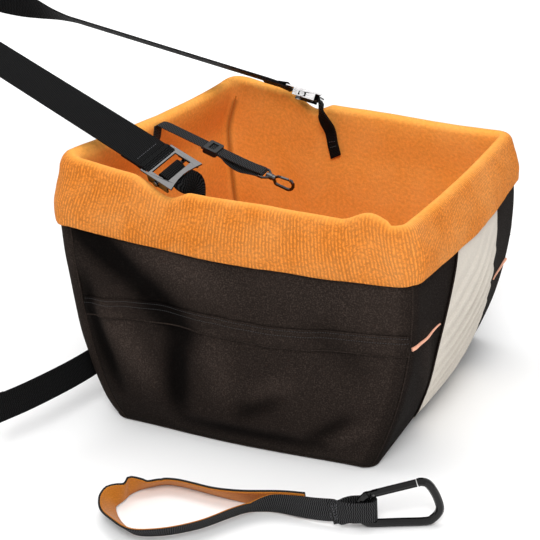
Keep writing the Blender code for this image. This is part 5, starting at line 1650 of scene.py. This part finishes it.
class SEAT_OT_straps(bpy.types.Operator):
    """Makes the webbing of the headrest strap, its anchors and the seat-back strap"""
    bl_idname = "car_seat.straps"
    bl_label = "Make Straps"

    def execute(self, context):
        bm = bmesh.new()
        rails = strap_piece("Headrest_Webbing", "headrest_strap", "Heavy Webbing")
        whole = strap_lengths(*rails)[-1]
        for distance in HEADREST_ROWS:
            cross_stitches(bm, rails, "headrest_strap",
                           rows_at(rails, (distance, whole - distance)))
        for name, node, first in (("Near_Anchor_Webbing", "near_anchor_webbing", 4),
                                  ("Far_Anchor_Webbing", "far_anchor_webbing", 4),
                                  ("Backrest_Webbing", "lower_strap", 5)):
            rails = strap_piece(name, node, "Heavy Webbing")
            last = len(rails[0]) - 1 - first
            cross_stitches(bm, rails, node, (first, first + 2, last - 2, last))
        finish_piece("Strap_Stitches", bm, "Grey Thread")
        self.make_tabs()
        return {"FINISHED"}

    def make_tabs(self):
        """The two cloth tabs that the seat-back strap runs under, and their stitching."""
        stitches = bmesh.new()
        over = STRAPS["lower_strap"] + 2 * LAYER_GAP
        for prefix in ("near", "far"):
            low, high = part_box(f"{prefix}_strap_tab")
            centre = (low + high) / 2
            half = (high - low) / 2
            middle = min([6.0 + step / 400 for step in range(800)],
                         key=lambda place: abs(wall_point(place, 0.06, 0).y - centre.y))
            reach = half.y / wall_length(BACK)

            def point(place, share):
                rise = half.z * (1 - 2 * share)
                bridge = smooth((half.z - TAB_SEWN - abs(rise)) / 0.003)
                return wall_point(place, centre.z + rise, PATCH_MIDDLE + over * bridge)

            places = [middle + reach * (2 * step / TAB_COLUMNS - 1)
                      for step in range(TAB_COLUMNS + 1)]
            columns = columns_of(places, TAB_ROWS, point)
            piece = finish_piece(f"{prefix.title()}_Strap_Tab", columns_mesh(columns, 0),
                                 "Black Cloth", replaces=(f"{prefix}_strap_tab",))
            thicken(piece, PATCH * 0.9)
            outward = Vector((-1, 0, 0))
            for row in (2, TAB_ROWS - 2):
                line = [column[row] + outward * PATCH / 2 for column in columns]
                add_stitch_row(stitches, line, [outward] * len(line))
        finish_piece("Tab_Stitches", stitches, "Grey Thread")


class SEAT_OT_tethers(bpy.types.Operator):
    """Makes the webbing of the tether inside and of the loose belt tether with its lining"""
    bl_idname = "car_seat.tethers"
    bl_label = "Make Tethers"

    def execute(self, context):
        bm = bmesh.new()
        rails = strap_piece("Tether_Webbing", "tether_webbing", "Webbing")
        cross_stitches(bm, rails, "tether_webbing", (1, 3))
        rails = strap_piece("Belt_Tether_Webbing", "belt_tether_webbing", "Webbing")
        cross_stitches(bm, rails, "belt_tether_webbing", rows_at(rails, BELT_TETHER_ROWS))
        finish_piece("Tether_Stitches", bm, "Grey Thread")
        rails = strap_piece("Belt_Tether_Lining", "belt_tether_lining", "Lining Cloth")
        bm = bmesh.new()
        for share in LINING_SHARES:
            edge_stitches(bm, rails, "belt_tether_lining", share)
        finish_piece("Lining_Stitches", bm, "Orange Thread")
        return {"FINISHED"}


# Metal, plastic and board


class SEAT_OT_hardware(bpy.types.Operator):
    """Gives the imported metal, plastic and board parts their materials and rounded edges"""
    bl_idname = "car_seat.hardware"
    bl_label = "Dress Hardware"

    def execute(self, context):
        for finish, names in DRESSED.items():
            for name in names:
                materials = NODES[name].data.materials
                materials.clear()
                materials.append(material(finish))
        for name, width in ROUNDED.items():
            node = NODES[name]
            weld = node.modifiers.new("Weld", "WELD")
            weld.merge_threshold = MERGE
            bevel = node.modifiers.new("Round", "BEVEL")
            bevel.width = width
            bevel.segments = 2
            bevel.angle_limit = math.radians(35)
        return {"FINISHED"}


# Panel in the sidebar


class SEAT_PT_panel(bpy.types.Panel):
    """Lists the makers of the car seat's pieces"""
    bl_idname = "SEAT_PT_panel"
    bl_label = "Car Seat"
    bl_space_type = "VIEW_3D"
    bl_region_type = "UI"
    bl_category = "Car Seat"

    def draw(self, context):
        for settings in ("cloth_settings", "mesh_settings", "stage_settings"):
            group_of = getattr(context.scene, settings)
            for name in group_of.__annotations__:
                self.layout.prop(group_of, name)
        for operator in OPERATORS:
            self.layout.operator(operator.bl_idname)


SETTINGS = (ClothSettings, MeshSettings, StageSettings)
OPERATORS = (SEAT_OT_stage, SEAT_OT_shell, SEAT_OT_liner, SEAT_OT_pad, SEAT_OT_pockets,
             SEAT_OT_panel, SEAT_OT_straps, SEAT_OT_tethers, SEAT_OT_hardware)


def register():
    for made in (*SETTINGS, *OPERATORS, SEAT_PT_panel):
        bpy.utils.register_class(made)
    bpy.types.Scene.cloth_settings = PointerProperty(type=ClothSettings)
    bpy.types.Scene.mesh_settings = PointerProperty(type=MeshSettings)
    bpy.types.Scene.stage_settings = PointerProperty(type=StageSettings)


def unregister():
    del bpy.types.Scene.cloth_settings
    del bpy.types.Scene.mesh_settings
    del bpy.types.Scene.stage_settings
    for made in reversed((*SETTINGS, *OPERATORS, SEAT_PT_panel)):
        bpy.utils.unregister_class(made)


def main():
    register()
    bpy.ops.car_seat.stage()
    bpy.ops.car_seat.shell()
    bpy.ops.car_seat.liner()
    bpy.ops.car_seat.pad()
    bpy.ops.car_seat.pockets()
    bpy.ops.car_seat.panel()
    bpy.ops.car_seat.straps()
    bpy.ops.car_seat.tethers()
    bpy.ops.car_seat.hardware()


if __name__ == "__main__":
    main()
